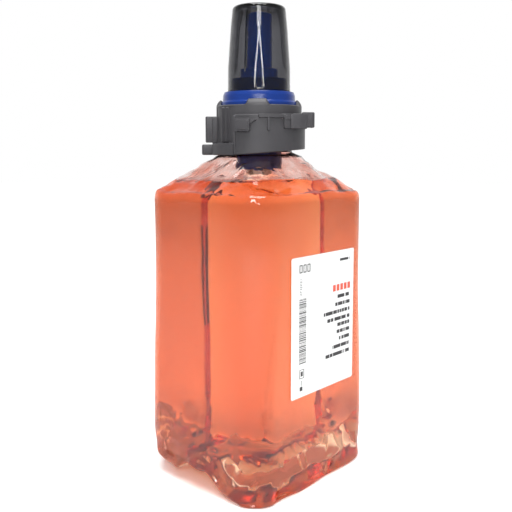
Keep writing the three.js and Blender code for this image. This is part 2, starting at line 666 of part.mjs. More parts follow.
function collarGeometry() {
  const bandFoot = collarFoot + 0.2;
  const bandTop = collarTop - BAND_DROP;
  const ledgeFoot = shoulderTop + LEDGE_CLEARANCE;
  const ledgeTop = ledgeFoot + LEDGE_HEIGHT;
  const parts = [
    collarTube(),
    arcBand(collarRoot, bandRadius, BAND_FROM, 205, bandFoot, bandTop),
    arcBand(collarRoot, ledgeRadius, -73, BAND_FROM + 1, ledgeFoot, ledgeTop),
    ...COLLAR_RELIEFS.map(({ from, to, out, foot, top }) =>
      arcBand(collarRoot, bandRadius + out, from, to, bandTop - foot, bandTop - top)),
    ...lockingLugs(bandTop, ledgeFoot, ledgeTop),
  ];
  for (let i = 0; i < TAB_COUNT; i++) parts.push(collarTab(i));
  const grooves = GROOVE_ANGLES.map((angle) => arcBand(
    collarRadius - GROOVE_DEPTH, bandRadius,
    angle - GROOVE_HALF_ANGLE, angle + GROOVE_HALF_ANGLE, ledgeTop + 0.4, collarTop - 1.4,
  ));
  const tilt = degrees(FOOT_TILT);
  return geometryOf(wasm.Manifold.union(parts)
    .subtract(wasm.Manifold.union(grooves))
    .trimByPlane([-Math.sin(tilt), 0, Math.cos(tilt)], bandFoot * Math.cos(tilt)));
}

// The lugs that key the pack into its dispenser: a pad and wing to the right, a wing and foot to the left.
function lockingLugs(bandTop, ledgeFoot, ledgeTop) {
  const wingTop = bandTop - 0.4;
  const wingFoot = ledgeTop + 0.6;
  const r = collarRadius;
  const leftWing = new THREE.Shape([
    [-collarRoot, wingFoot], [-collarRoot, wingTop], [-r - 5.3, wingTop], [-r - 6.3, wingTop - 1],
    [-r - 5.1, wingFoot],
  ].map(([x, z]) => new THREE.Vector2(x, z)));
  const pad = [
    [r - 8.9, 3.9 - r], [r - 8.9, 1.5 - r], [r - 1.9, 2.9 - r], [r + 1.9, 5.3 - r], [r + 1.9, -6], [r - 1.9, -6],
  ];
  const rightWing = [
    [r - 1.9, 4.9 - r], [r + 4.9, 6.7 - r], [r + 6, 7.9 - r], [r + 6, -8.5], [r + 0.1, -5],
  ];
  const footLug = [
    [-collarRoot, -3], [-r - 7.5, -3], [-r - 8.2, -2.3], [-r - 8.2, 5], [-r - 7.1, 6], [-collarRoot, 8],
  ];
  return [
    plate(pad, bandTop - 7.6, bandTop + 0.6),
    plate(rightWing, bandTop - 6.8, bandTop + WING_RISE),
    solid(carried(leftWing, -3, 0.4)),
    plate(footLug, ledgeFoot, ledgeTop - 0.4),
  ];
}

function piece(name, geometry, material) {
  const mesh = new THREE.Mesh(geometry, material);
  mesh.name = name;
  return mesh;
}

const bottlePack = new THREE.Group();
bottlePack.add(
  piece('bottle', bottleGeometry(), clearPet),
  piece('liquid_soap', soapGeometry(), orangeSoap),
  piece('front_label', labelGeometry(), paper),
);

const pump = new THREE.Group();
pump.add(
  piece('neck_gasket', gasketGeometry(), softElastomer),
  piece('pump_housing', housingGeometry(), bluePolypropylene),
  piece('intake_cage', intakeCageGeometry(), naturalPolypropylene),
  piece('inlet_valve', inletValveGeometry(), softElastomer),
  piece('nozzle', nozzleGeometry(), bluePolypropylene),
  piece('upper_screen', screenGeometry(screenTop), screenMesh),
  piece('screen_holder', screenHolderGeometry(), naturalPolypropylene),
  piece('lower_screen', screenGeometry(holderFoot - SEAT_GAP), screenMesh),
  piece('mixing_ring', mixingRingGeometry(), naturalPolypropylene),
  piece('outlet_valve', outletValveGeometry(), softElastomer),
  piece('piston_stem', stemGeometry(), naturalPolypropylene),
  piece('liquid_piston', liquidPistonGeometry(), softElastomer),
  piece('air_piston', airPistonGeometry(), naturalPolypropylene),
  piece('air_valve', airValveGeometry(), softElastomer),
);

const closure = new THREE.Group();
closure.rotation.z = degrees(CLOSURE_TURN);
closure.add(
  piece('keyed_collar', collarGeometry(), charcoalPolypropylene),
  piece('overcap', overcapGeometry(), smokeStyrene),
);

const refillPack = new THREE.Group();
refillPack.add(bottlePack, pump, closure);

export default refillPack;
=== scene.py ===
import bpy
import bmesh
import math
import random
import numpy as np
from mathutils import Matrix, Vector, noise


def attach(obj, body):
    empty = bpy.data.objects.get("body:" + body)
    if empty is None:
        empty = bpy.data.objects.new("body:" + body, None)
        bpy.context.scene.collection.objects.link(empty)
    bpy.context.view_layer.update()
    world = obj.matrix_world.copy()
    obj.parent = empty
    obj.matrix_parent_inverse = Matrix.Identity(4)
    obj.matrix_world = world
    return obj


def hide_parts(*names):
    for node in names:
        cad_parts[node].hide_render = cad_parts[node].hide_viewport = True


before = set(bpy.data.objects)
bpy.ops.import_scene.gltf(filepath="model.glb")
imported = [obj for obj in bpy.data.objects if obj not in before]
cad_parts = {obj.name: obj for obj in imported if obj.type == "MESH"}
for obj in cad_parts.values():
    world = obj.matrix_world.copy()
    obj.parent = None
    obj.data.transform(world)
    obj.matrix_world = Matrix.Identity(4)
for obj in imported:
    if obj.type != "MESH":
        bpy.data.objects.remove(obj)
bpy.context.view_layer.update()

# A hand soap refill pack: a thin blown bottle of clear orange soap, with a blue foaming pump, a charcoal
# keyed collar and a smoke-grey cap. Sizes are in millimetres until a mesh is made.
MM = 0.001

BODY_HALF_X, BODY_HALF_Y = 51.0, 43.5
CORNER_RADIUS = 20.0
BASE_EDGE = 7.0
ARCH_HEIGHT, ARCH_HALF, ARCH_ROOF_HALF, BASE_DOME = 12.0, 19.0, 5.0, 3.0
CREASE_Z = 161.0
SHOULDER_EDGE = 5.0
SHOULDER_TOP_Z, SHOULDER_TOP_RADIUS = 179.5, 24.2
NECK_RADIUS, NECK_FOOT_Z, NECK_TOP_Z = 18.6, 181.0, 204.5
BODY_WALL, NECK_WALL = 0.45, 1.8
RING_TOP_Z, RING_STEP_Z, BOSS_TOP_Z = 214.8, 209.6, 222.0
FLANGE_Z, BORE_FLOOR_Z, HOUSING_FOOT_Z, WELL_TOP_Z = 206.3, 174.6, 172.4, 192.0
SKIRT_TOP_Z, SKIRT_FOOT_Z, NOZZLE_TOP_Z = 227.5, 203.5, 257.5
CAP_FOOT_Z, CAP_TOP_Z = 215.1, 262.0
COLLAR_FOOT_Z, COLLAR_TOP_Z = 181.1, 207.3
CLOSURE_TURN = math.radians(-48)
SOAP_Z = 166.5
SOAP_REACH = 0.12  # how far the soap's mesh goes into the wall
SOAP_ROOM = 3.0  # height of soap mesh over its level, for the ripples


# Meshes

def make_piece(name, verts, faces, material, body, stands_for=(), smooth_angle=None):
    """A finished piece at the origin, its millimetre points turned to metres."""
    mesh = bpy.data.meshes.new(name)
    mesh.from_pydata([tuple(c * MM for c in v) for v in verts], [], [tuple(f) for f in faces])
    mesh.validate()
    shown = bpy.data.objects.new(name, mesh)
    bpy.context.scene.collection.objects.link(shown)
    return settle(shown, material, body, stands_for, smooth_angle)


def settle(shown, material, body, stands_for=(), smooth_angle=None):
    """Gives a piece its shading, material and body, and hides the CAD parts it stands for."""
    mesh = shown.data
    if material is not None:
        mesh.materials.clear()
        mesh.materials.append(material)
    mesh.shade_smooth()
    if smooth_angle:
        mark_sharp(mesh, math.radians(smooth_angle))
    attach(shown, body)
    if stands_for:
        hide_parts(*stands_for)
    return shown


def mark_sharp(mesh, limit):
    work = bmesh.new()
    work.from_mesh(mesh)
    for edge in work.edges:
        if len(edge.link_faces) == 2:
            edge.smooth = edge.calc_face_angle(0) < limit
    work.to_mesh(mesh)
    work.free()


def rounded(profile, radius, steps=4, loop=True):
    """A profile with its corners turned to arcs, each no larger than its edges allow."""
    points = [Vector(p) for p in profile]
    made = []
    count = len(points)
    for i, here in enumerate(points):
        if not loop and i in (0, count - 1):
            made.append(tuple(here))
            continue
        before, after = points[i - 1], points[(i + 1) % count]
        if here.x == 0:
            made.append(tuple(here))
            continue
        into, out = (before - here), (after - here)
        corner = into.angle(out) if into.length > 1e-6 and out.length > 1e-6 else math.pi
        if corner > math.radians(172) or corner < math.radians(8):
            made.append(tuple(here))
            continue
        reach = min(radius / math.tan(corner / 2), 0.45 * into.length, 0.45 * out.length)
        start = here + into.normalized() * reach
        end = here + out.normalized() * reach
        for k in range(steps + 1):
            t = k / steps
            made.append(tuple((1 - t) ** 2 * start + 2 * t * (1 - t) * here + t ** 2 * end))
    return made


def turned(profile, segments=96):
    """Points and faces of a profile of (radius, height) turned about Z. A closed one is a loop."""
    verts, faces, rows = [], [], []
    for radius, height in profile:
        if radius < 1e-6:
            rows.append([len(verts)] * segments)
            verts.append((0, 0, height))
        else:
            rows.append(list(range(len(verts), len(verts) + segments)))
            for k in range(segments):
                angle = 2 * math.pi * k / segments
                verts.append((radius * math.cos(angle), radius * math.sin(angle), height))
    closed = profile[0][0] > 1e-6 or profile[-1][0] > 1e-6
    pairs = [(i, (i + 1) % len(rows)) for i in range(len(rows) if closed else len(rows) - 1)]
    for i, j in pairs:
        for k in range(segments):
            n = (k + 1) % segments
            corners = [rows[i][k], rows[i][n], rows[j][n], rows[j][k]]
            face = list(dict.fromkeys(corners))
            if len(face) > 2:
                faces.append(face)
    return verts, faces


# Materials

def srgb(text):
    """Linear colour, with alpha, of an sRGB hex value."""
    parts = [int(text[i:i + 2], 16) / 255 for i in (1, 3, 5)]
    return tuple(c / 12.92 if c <= 0.04045 else ((c + 0.055) / 1.055) ** 2.4 for c in parts) + (1,)


def add_node(tree, kind, settings=None, links=None):
    """Adds a node. Settings name its properties or input sockets, and links name its input sockets."""
    made = tree.nodes.new(kind)
    for key, value in (settings or {}).items():
        if isinstance(key, int) or key in made.inputs:
            made.inputs[key].default_value = value
        else:
            setattr(made, key, value)
    for key, source in (links or {}).items():
        tree.links.new(source, made.inputs[key])
    return made


def start_material(name, settings):
    """A material whose principled shader has these settings."""
    material = bpy.data.materials.new(name)
    material.use_nodes = True
    tree = material.node_tree
    tree.nodes.clear()
    shader = add_node(tree, "ShaderNodeBsdfPrincipled", settings)
    add_node(tree, "ShaderNodeOutputMaterial", links={"Surface": shader.outputs[0]})
    return material, tree, shader


# Blown PET: a clear stiff film, glossy on both faces, with slow waves from the mould and the blowing.
# Above the filling it takes an uneven peach tint: partly soap clinging to its inside, partly a painted reflection of
# the orange soap below.
def blown_pet():
    material, tree, shader = start_material("blown_pet", {
        "Roughness": 0.02, "IOR": 1.3, "Transmission Weight": 1.0,
    })
    place = add_node(tree, "ShaderNodeTexCoord").outputs["Object"]
    height = add_node(tree, "ShaderNodeSeparateXYZ", links={0: place}).outputs["Z"]
    above = add_node(tree, "ShaderNodeMapRange", {
        "interpolation_type": "SMOOTHSTEP", "From Min": 0.160, "From Max": 0.167, "To Min": 0.0, "To Max": 1.0,
    }, {"Value": height})
    patches = add_node(tree, "ShaderNodeTexNoise", {"Scale": 1 / (16.7 * MM), "Detail": 3.0}, {"Vector": place})
    uneven_tint = add_node(tree, "ShaderNodeMapRange", {"From Min": 0.35, "From Max": 0.62, "To Min": 0.25, "To Max": 1.0},
                    {"Value": patches.outputs[0]})
    # Peach tint above the soap level: partly soap film, partly a painted reflection of the orange soap.
    soap_film_and_painted_reflection = add_node(tree, "ShaderNodeMath", {"operation": "MULTIPLY"}, {0: above.outputs[0], 1: uneven_tint.outputs[0]})
    tint = add_node(tree, "ShaderNodeMix", {"data_type": "RGBA"}, {"Factor": soap_film_and_painted_reflection.outputs[0]})
    tint.inputs["A"].default_value = srgb("#FFFDFC")
    tint.inputs["B"].default_value = srgb("#E9B9AC")
    tree.links.new(tint.outputs["Result"], shader.inputs["Base Color"])
    waves = add_node(tree, "ShaderNodeTexNoise", {
        "Scale": 1 / (18.2 * MM), "Detail": 2.0, "Roughness": 0.4}, {"Vector": place})
    bump = add_node(tree, "ShaderNodeBump", {"Strength": 0.25, "Distance": 0.0012}, {"Height": waves.outputs[0]})
    tree.links.new(bump.outputs[0], shader.inputs["Normal"])
    return material


# Foaming hand soap: a clear thin liquid, dyed orange, which deepens with the length of soap seen through.
def orange_soap():
    material, tree, shader = start_material("foaming_hand_soap", {
        "Base Color": srgb("#FFFFFF"), "Roughness": 0.0, "IOR": 1.35, "Transmission Weight": 1.0,
    })
    dye = add_node(tree, "ShaderNodeVolumeAbsorption", {"Color": srgb("#EFB55F"), "Density": 38.0})
    output = next(n for n in tree.nodes if n.type == "OUTPUT_MATERIAL")
    tree.links.new(dye.outputs[0], output.inputs["Volume"])
    return material


def moulded(name, colour, dark, light, roughness, grain, specular=0.5):
    """Moulded polypropylene: an even colour with faint flow marks, and a fine satin grain in its gloss."""
    material, tree, shader = start_material(name, {"Specular IOR Level": specular, "IOR": 1.49})
    place = add_node(tree, "ShaderNodeTexCoord").outputs["Object"]
    flow = add_node(tree, "ShaderNodeTexNoise", {"Scale": 1 / (22.2 * MM), "Detail": 4.0}, {"Vector": place})
    tone = add_node(tree, "ShaderNodeValToRGB", links={"Fac": flow.outputs[0]})
    tone.color_ramp.elements[0].position, tone.color_ramp.elements[0].color = 0.3, srgb(dark)
    tone.color_ramp.elements[1].position, tone.color_ramp.elements[1].color = 0.7, srgb(light)
    middle = tone.color_ramp.elements.new(0.5)
    middle.color = srgb(colour)
    tree.links.new(tone.outputs[0], shader.inputs["Base Color"])
    fine = add_node(tree, "ShaderNodeTexNoise", {"Scale": 1 / (grain * MM), "Detail": 2.0}, {"Vector": place})
    gloss = add_node(tree, "ShaderNodeMapRange", {"To Min": roughness - 0.06, "To Max": roughness + 0.06},
                     {"Value": fine.outputs[0]})
    tree.links.new(gloss.outputs[0], shader.inputs["Roughness"])
    bump = add_node(tree, "ShaderNodeBump", {"Strength": 0.12, "Distance": 0.0001}, {"Height": fine.outputs[0]})
    tree.links.new(bump.outputs[0], shader.inputs["Normal"])
    return material


# Moulded polystyrene, dyed smoke grey through its thickness: see-through but dark, with a hard gloss.
def smoke_styrene():
    material, tree, shader = start_material("smoke_styrene", {
        "Base Color": srgb("#FAFAFC"), "IOR": 1.45, "Transmission Weight": 1.0,
    })
    place = add_node(tree, "ShaderNodeTexCoord").outputs["Object"]
    streaks = add_node(tree, "ShaderNodeTexNoise", {"Scale": 1 / (33.3 * MM), "Detail": 2.0}, {"Vector": place})
    gloss = add_node(tree, "ShaderNodeMapRange", {"To Min": 0.01, "To Max": 0.06}, {"Value": streaks.outputs[0]})
    tree.links.new(gloss.outputs[0], shader.inputs["Roughness"])
    dye = add_node(tree, "ShaderNodeVolumeAbsorption", {"Color": srgb("#A2A2A6"), "Density": 1350.0})
    output = next(n for n in tree.nodes if n.type == "OUTPUT_MATERIAL")
    tree.links.new(dye.outputs[0], output.inputs["Volume"])
    return material


# Coated white label film: a satin print face, with a sheet grain drawn coarser than real so that it shows.
def label_film():
    material, tree, shader = start_material("label_film", {"Base Color": srgb("#F8F8F7"), "Roughness": 0.45})
    place = add_node(tree, "ShaderNodeTexCoord").outputs["Object"]
    fibre = add_node(tree, "ShaderNodeTexNoise", {"Scale": 1 / (0.714 * MM), "Detail": 3.0}, {"Vector": place})
    tone = add_node(tree, "ShaderNodeMapRange", {"To Min": 0.93, "To Max": 0.97}, {"Value": fibre.outputs[0]})
    grey = add_node(tree, "ShaderNodeCombineColor", links={
        "Red": tone.outputs[0], "Green": tone.outputs[0], "Blue": tone.outputs[0]})
    tree.links.new(grey.outputs[0], shader.inputs["Base Color"])
    bump = add_node(tree, "ShaderNodeBump", {"Strength": 0.05, "Distance": 0.0001}, {"Height": fibre.outputs[0]})
    tree.links.new(bump.outputs[0], shader.inputs["Normal"])
    return material


def printed_ink(name, colour):
    """Flexographic ink: a thin even film that lets a little of the sheet's grain through."""
    material, tree, shader = start_material(name, {"Roughness": 0.4})
    place = add_node(tree, "ShaderNodeTexCoord").outputs["Object"]
    speck = add_node(tree, "ShaderNodeTexNoise", {"Scale": 1 / (0.4 * MM), "Detail": 1.0}, {"Vector": place})
    tone = add_node(tree, "ShaderNodeMix", {"data_type": "RGBA"}, {"Factor": speck.outputs[0]})
    tone.inputs["A"].default_value = srgb(colour)
    tone.inputs["B"].default_value = tuple(min(c * 1.25 + 0.01, 1) for c in srgb(colour)[:3]) + (1,)
    tree.links.new(tone.outputs["Result"], shader.inputs["Base Color"])
    return material


PET = blown_pet()
SOAP = orange_soap()
# Moulded pieces: the collar has a fine satin texture and is nearly matt. The blue pump is glossier. The
# nozzle has the same blue dye, painted lighter: painted light, for the nozzle being lit outside the ring's
# shade. Undyed polypropylene is milky white, the valves and the gasket are a soft dull elastomer, and the
# screens are fine woven cloth, too fine to show.
COLLAR = moulded("charcoal_polypropylene", "#454447", "#414043", "#49484B", 0.42, 0.4, specular=0.35)
BLUE = moulded("blue_polypropylene", "#15337C", "#123076", "#183884", 0.22, 0.5, specular=0.4)
# The pump's blue painted lighter: painted light on the nozzle, which is lit outside the ring's shade.
NOZZLE_BLUE_PAINTED_LIGHT = moulded("blue_polypropylene_painted_lighter", "#255AC8", "#2254BE", "#2860D2", 0.3, 0.5, specular=0.4)
NATURAL = moulded("natural_polypropylene", "#E6E6E1", "#DEDED8", "#EEEEEA", 0.4, 0.5)
ELASTOMER = moulded("soft_elastomer", "#D2D2CC", "#C8C8C2", "#DADAD5", 0.6, 0.4)
MESH_CLOTH = moulded("woven_screen", "#EFEFEA", "#E6E6E0", "#F7F7F4", 0.7, 0.2)
SMOKE = smoke_styrene()
LABEL = label_film()
INK_BLACK = printed_ink("label_ink_black", "#1C1B1D")
INK_RED = printed_ink("label_ink_red", "#D8543C")


# Bottle

CORNER_STEPS, LONG_STEPS, SHORT_STEPS = 36, 40, 34
TOE_EDGE = 1.8
FOOT_CORNER_RADIUS = 15.0
FOOT_LIFT = 5.2
STRAIGHT_Z = 42.0  # where the body's wall stops following the feet
SHOULDER_LEAN = 0.6  # share of the shoulder's edge that leans inward
NECK_BEAD = 20.6


def smooth_step(value, low, high):
    share = np.clip((value - low) / (high - low), 0, 1)
    return share * share * (3 - 2 * share)


def outline(radius=CORNER_RADIUS):
    """The body's cross-section and its outward directions, the same count of points for every ring."""
    half_x, half_y = BODY_HALF_X - radius, BODY_HALF_Y - radius
    corners = [(1, 1), (-1, 1), (-1, -1), (1, -1)]
    points, outward = [], []
    for quarter, (sx, sy) in enumerate(corners):
        for i in range(CORNER_STEPS + 1):
            angle = (quarter + i / CORNER_STEPS) * math.pi / 2
            way = (math.cos(angle), math.sin(angle))
            points.append((sx * half_x + radius * way[0], sy * half_y + radius * way[1]))
            outward.append(way)
        nx, ny = corners[(quarter + 1) % 4]
        end = points[-1]
        start = (nx * half_x + radius * way[0], ny * half_y + radius * way[1])
        steps = LONG_STEPS if quarter % 2 == 0 else SHORT_STEPS
        for i in range(1, steps):
            share = i / steps
            points.append((end[0] + (start[0] - end[0]) * share, end[1] + (start[1] - end[1]) * share))
            outward.append(way)
    return np.array(points), np.array(outward)


def arch(xy):
    """Height of the channel under the base, which runs along X between two long feet."""
    across = np.clip((np.abs(xy[:, 1] - 2) - ARCH_ROOF_HALF) / (ARCH_HALF - ARCH_ROOF_HALF), 0, 1)
    along = np.clip(np.abs(xy[:, 0]) / BODY_HALF_X, 0, 1)
    height = ARCH_HEIGHT * (1 - 0.3 * smooth_step(along, 0.6, 1)) + BASE_DOME * np.cos(along * math.pi / 2)
    return height * np.cos(across * math.pi / 2) ** 2


def bottle_rows():
    """Rings of points from under the base up to the neck's rim, and the wall at each ring."""
    rows, walls = [], []
    full, outward = outline(FOOT_CORNER_RADIUS)

    def add(xy, z, wall=BODY_WALL):
        rows.append(np.column_stack([xy, np.broadcast_to(z, len(xy))]))
        walls.append(wall)

    near = smooth_step(-full[:, 1], 12, 36)
    edge = (BASE_EDGE + (TOE_EDGE - BASE_EDGE) * near)[:, None]
    flat = full - outward * edge
    # One foot stands off the floor, where the film has folded up under the pack.
    lift = 0.6 * (1 - near) + FOOT_LIFT * smooth_step(-full[:, 0], 10, 48) * smooth_step(full[:, 1], -2, 34)
    for scale in np.linspace(0.03, 1, 30)[:-1]:
        add(flat * scale, arch(flat * scale) + lift * scale ** 4)
    for turn in np.linspace(0, math.pi / 2, 12):
        ring = full - outward * edge * (1 - math.sin(turn))
        add(ring, arch(ring) * (1 - 0.3 * turn / math.pi) + edge[:, 0] * (1 - math.cos(turn)) + lift)
    start = arch(full) * 0.85 + edge[:, 0] + lift
    for share in np.linspace(0, 1, 31)[1:]:
        add(full, start + (STRAIGHT_Z - start) * share)
    for z in np.linspace(STRAIGHT_Z, CREASE_Z - SHOULDER_EDGE, 16)[1:]:
        full, outward = outline(FOOT_CORNER_RADIUS + (CORNER_RADIUS - FOOT_CORNER_RADIUS)
                                * float(smooth_step(z, 40, 120)))
        add(full, z)
    for turn in np.linspace(0, math.pi / 2, 9)[1:]:
        add(full - outward * SHOULDER_EDGE * (1 - math.cos(turn)) * SHOULDER_LEAN,
            CREASE_Z - SHOULDER_EDGE * (1 - math.sin(turn)))
    foot = full - outward * SHOULDER_EDGE * SHOULDER_LEAN
    circle = foot / np.hypot(*foot.T)[:, None]
    for share in np.linspace(0, 1, 32)[1:]:
        add(foot + (circle * SHOULDER_TOP_RADIUS - foot) * share, CREASE_Z + (SHOULDER_TOP_Z - CREASE_Z) * share,
            BODY_WALL + 0.5 * max(share - 0.6, 0))
    neck = rounded([
        (SHOULDER_TOP_RADIUS, SHOULDER_TOP_Z), (21.2, 180.6), (NECK_RADIUS, NECK_FOOT_Z + 0.6),
        (NECK_RADIUS, 187), (NECK_BEAD, 187.4), (NECK_BEAD, 189.3), (NECK_RADIUS, 190), (NECK_RADIUS, NECK_TOP_Z),
    ], 0.5, 2, loop=False)[1:]
    for radius, z in neck:
        add(circle * radius, z, 0.7 + (NECK_WALL - 0.7) * min(max((z - 180) / 4, 0), 1))
    return np.array(rows), np.array(walls)


def ring_normals(rows):
    """Outward normals of stacked rings, from central differences round and along them."""
    around = np.roll(rows, -1, axis=1) - np.roll(rows, 1, axis=1)
    along = np.gradient(rows, axis=0)
    normal = np.cross(around, along)
    return normal / np.maximum(np.linalg.norm(normal, axis=2, keepdims=True), 1e-9)


# Folds of the film: points they pass through, height out of the wall, and width.
FOLDS = [
    ([(-25.2, -14, 176.1), (-36.6, -12.8, 167.2), (-44.1, -20, 160.4)], 1.6, 1.6),
    ([(-25.4, -23.4, 172), (-34, -21, 167), (-42.5, -19.3, 161.8)], 1.3, 1.4),
    ([(-22, -22, 174), (-31, -19, 170), (-40, -15, 165)], -1.4, 1.6),
    ([(-42.5, -19.3, 161.8), (-41.9, -30.9, 159.7), (-31.4, -38.4, 159), (-8.2, -36.4, 162.5)], 1.5, 1.8),
    ([(-40, -22, 164), (-36, -31, 163), (-24, -35, 163), (-8, -33, 165)], -1.5, 2.6),
    ([(-13.7, -30.4, 169.3), (-4, -32, 168), (4, -32.5, 167)], 1.6, 1.6),
    ([(-12, -27, 172), (-3, -29, 171), (6, -30, 169)], -1.5, 2.2),
    ([(-6, -24, 177), (6, -27, 175), (17, -24, 176)], 1.4, 2.0),
    ([(20, -28, 171), (30, -30, 166), (41, -30, 162)], 1.3, 2.0),
    ([(16, -22, 177), (25, -20, 175), (36, -16, 169)], -1.2, 2.4),
    ([(-24, -8, 178), (-33, 0, 171), (-44, 8, 163)], 1.2, 2.0),
    ([(-23, 8, 177), (-30, 14, 172), (-40, 24, 163)], -1.1, 2.0),
    ([(-18, 20, 177), (-24, 28, 170), (-30, 36, 162)], 1.3, 1.8),
    ([(-6, 25, 177), (0, 31, 170), (8, 38, 162)], 1.1, 2.0),
    ([(8, 24, 178), (18, 30, 170), (30, 34, 162)], -1.2, 2.0),
    ([(22, 12, 177), (32, 16, 170), (44, 22, 162)], 1.3, 2.0),
    ([(26, 0, 176), (36, -4, 169), (46, -10, 162)], 1.2, 1.8),
    ([(-47, -30, 26), (-44, -39, 24.5), (-41, -41, 21), (-37, -42, 24.5), (-28, -43.5, 26)], 1.0, 1.0),
    ([(-28, -43.5, 26), (-27, -43.5, 18), (-25, -43.5, 12)], 1.0, 1.0),
    ([(-50.5, -25, 23), (-48, -30, 27)], 1.0, 1.0),
    ([(-49, -28, 9), (-44, -38, 8), (-33, -43, 9)], -1.4, 1.6),
    ([(-51, 8, 26), (-51, 14, 22), (-51, 22, 25), (-51, 30, 22)], 1.0, 1.4),
    ([(-51, 4, 16), (-51, 14, 13), (-51, 26, 15), (-48, 34, 12)], -1.0, 1.8),
    ([(8, -43.5, 12), (20, -43.5, 16), (34, -42.5, 15), (44, -38, 20)], 1.0, 1.6),
    ([(2, -43.5, 28), (14, -43.5, 24), (30, -43.5, 27), (46, -36, 24)], -0.9, 1.8),
    ([(-14, 43.5, 12), (0, 43.5, 17), (20, 43.5, 13), (40, 40, 18)], 1.0, 1.8),
    ([(51, -18, 20), (51, -4, 25), (51, 12, 20), (49, 30, 24)], 1.0, 1.8),
]
# Dents pressed into the film: middle, depth and reach.
DENTS = [
    ((27, -27, 172), 3.4, 9), ((44, -34, 164), 1.4, 6), ((-12, -33, 168), 1.8, 7), ((-37, -17, 169), 1.6, 6),
    ((-30, -36, 162), 1.2, 6), ((-36, 14, 170), 2.0, 9), ((10, 34, 169), 2.4, 9), ((36, 8, 170), 2.0, 9),
    ((-29, -43, 3), 3.0, 6), ((-22, 32, 171), 1.8, 7), ((-50, 16, 20), 1.2, 9), ((30, -43, 20), 1.2, 10),
    ((-40, -40, 17), 1.6, 7), ((50, 20, 20), 1.2, 9),
]


def crumpled(rows):
    """The film's folds, dents and fine creasing at the shoulder and round the base."""
    points = rows.reshape(-1, 3)
    push = np.zeros(len(points))
    for path, height, width in FOLDS:
        nearest = np.full(len(points), 1e9)
        fade = np.zeros(len(points))
        stops = np.array(path, float)
        lengths = np.linalg.norm(np.diff(stops, axis=0), axis=1)
        run, total = 0, lengths.sum()
        for start, end, length in zip(stops[:-1], stops[1:], lengths):
            along = np.clip(((points - start) @ (end - start)) / length ** 2, 0, 1)
            gap = np.linalg.norm(points - start - along[:, None] * (end - start), axis=1)
            closer = gap < nearest
            nearest[closer] = gap[closer]
            fade[closer] = ((run + along * length) / total)[closer]
            run += length
        ends = smooth_step(fade, -0.05, 0.15) * smooth_step(1 - fade, -0.05, 0.15)
        push += height * np.exp(-nearest / width) * ends
    for middle, depth, reach in DENTS:
        push -= depth * np.exp(-(np.linalg.norm(points - middle, axis=1) / reach) ** 2)
    z = points[:, 2]
    shoulder = smooth_step(z, 157.5, 162) * (1 - smooth_step(z, 176, 180))
    base = 1 - smooth_step(z, 14, 34)
    under = base * (1 - smooth_step(np.maximum(np.abs(points[:, 0]) / BODY_HALF_X,
                                               np.abs(points[:, 1]) / BODY_HALF_Y), 0.8, 1))
    crease = np.array([0.8 * ridge(p, 15) + 0.25 * ridge(p, 7) for p in points])
    slow = np.array([noise.noise(Vector(p) / 23) for p in points])
    push += crease * (shoulder * 0.75 + base * 0.4 + under * 1.2) + slow * (1.6 * shoulder + 1.4 * base + 3 * under)
    push += 0.18 * slow * (1 - shoulder - base)
    held = (1 - smooth_step(z, 177, 180.5)) * smooth_step(z, -0.5, 1.5)
    return rows + ring_normals(rows) * (push * held).reshape(rows.shape[:2])[:, :, None]


def ridge(point, size):
    """Sharp-crested noise, from -1 in the flats to about 0.6 on a crest."""
    return 0.6 - abs(noise.noise(Vector(point) / size)) * 3.2


def inside_box(rows):
    """Keeps the film inside the body's outline."""
    made = rows.copy()
    for axis, half in ((0, BODY_HALF_X), (1, BODY_HALF_Y)):
        made[:, :, axis] = np.clip(made[:, :, axis], -half, half)
    made[:, :, 2] = np.maximum(made[:, :, 2], 0)
    return made


def ring_faces(first, rows, count, flip=False):
    faces = []
    for i in range(rows - 1):
        for k in range(count):
            n = (k + 1) % count
            a, b = first + i * count, first + (i + 1) * count
            face = (a + k, a + n, b + n, b + k)
            faces.append(face[::-1] if flip else face)
    return faces


def cap_fan(centre, first, count, flip=False):
    return [(centre, first + (k + 1) % count, first + k)[::-1 if flip else 1] for k in range(count)]


def build_bottle():
    rows, walls = bottle_rows()
    rows = inside_box(crumpled(rows))
    normals = ring_normals(rows)
    count = rows.shape[1]
    inner = rows - normals * walls[:, None, None]
    inner[-1, :, 2] = rows[-1, :, 2]
    verts = [tuple(v) for v in rows.reshape(-1, 3)] + [tuple(v) for v in inner.reshape(-1, 3)]
    total = rows.shape[0] * count
    faces = ring_faces(0, len(rows), count) + ring_faces(total, len(rows), count, flip=True)
    top = total - count
    faces += [(top + k, top + (k + 1) % count, total + top + (k + 1) % count, total + top + k) for k in range(count)]
    verts += [tuple(rows[0].mean(0)), tuple(inner[0].mean(0))]
    faces += cap_fan(2 * total, 0, count) + cap_fan(2 * total + 1, total, count, flip=True)
    make_piece("bottle_wall", verts, faces, PET, "root", ["bottle"])
    return rows, normals, walls


def soap_ripple(point):
    """Height of the soap's clinging edge over its level, in metres."""
    spot = Vector((point.x, point.y, 0)) / MM
    return (1.8 * noise.noise(spot / 13) + 0.7 * noise.noise(spot / 4.5)) * MM


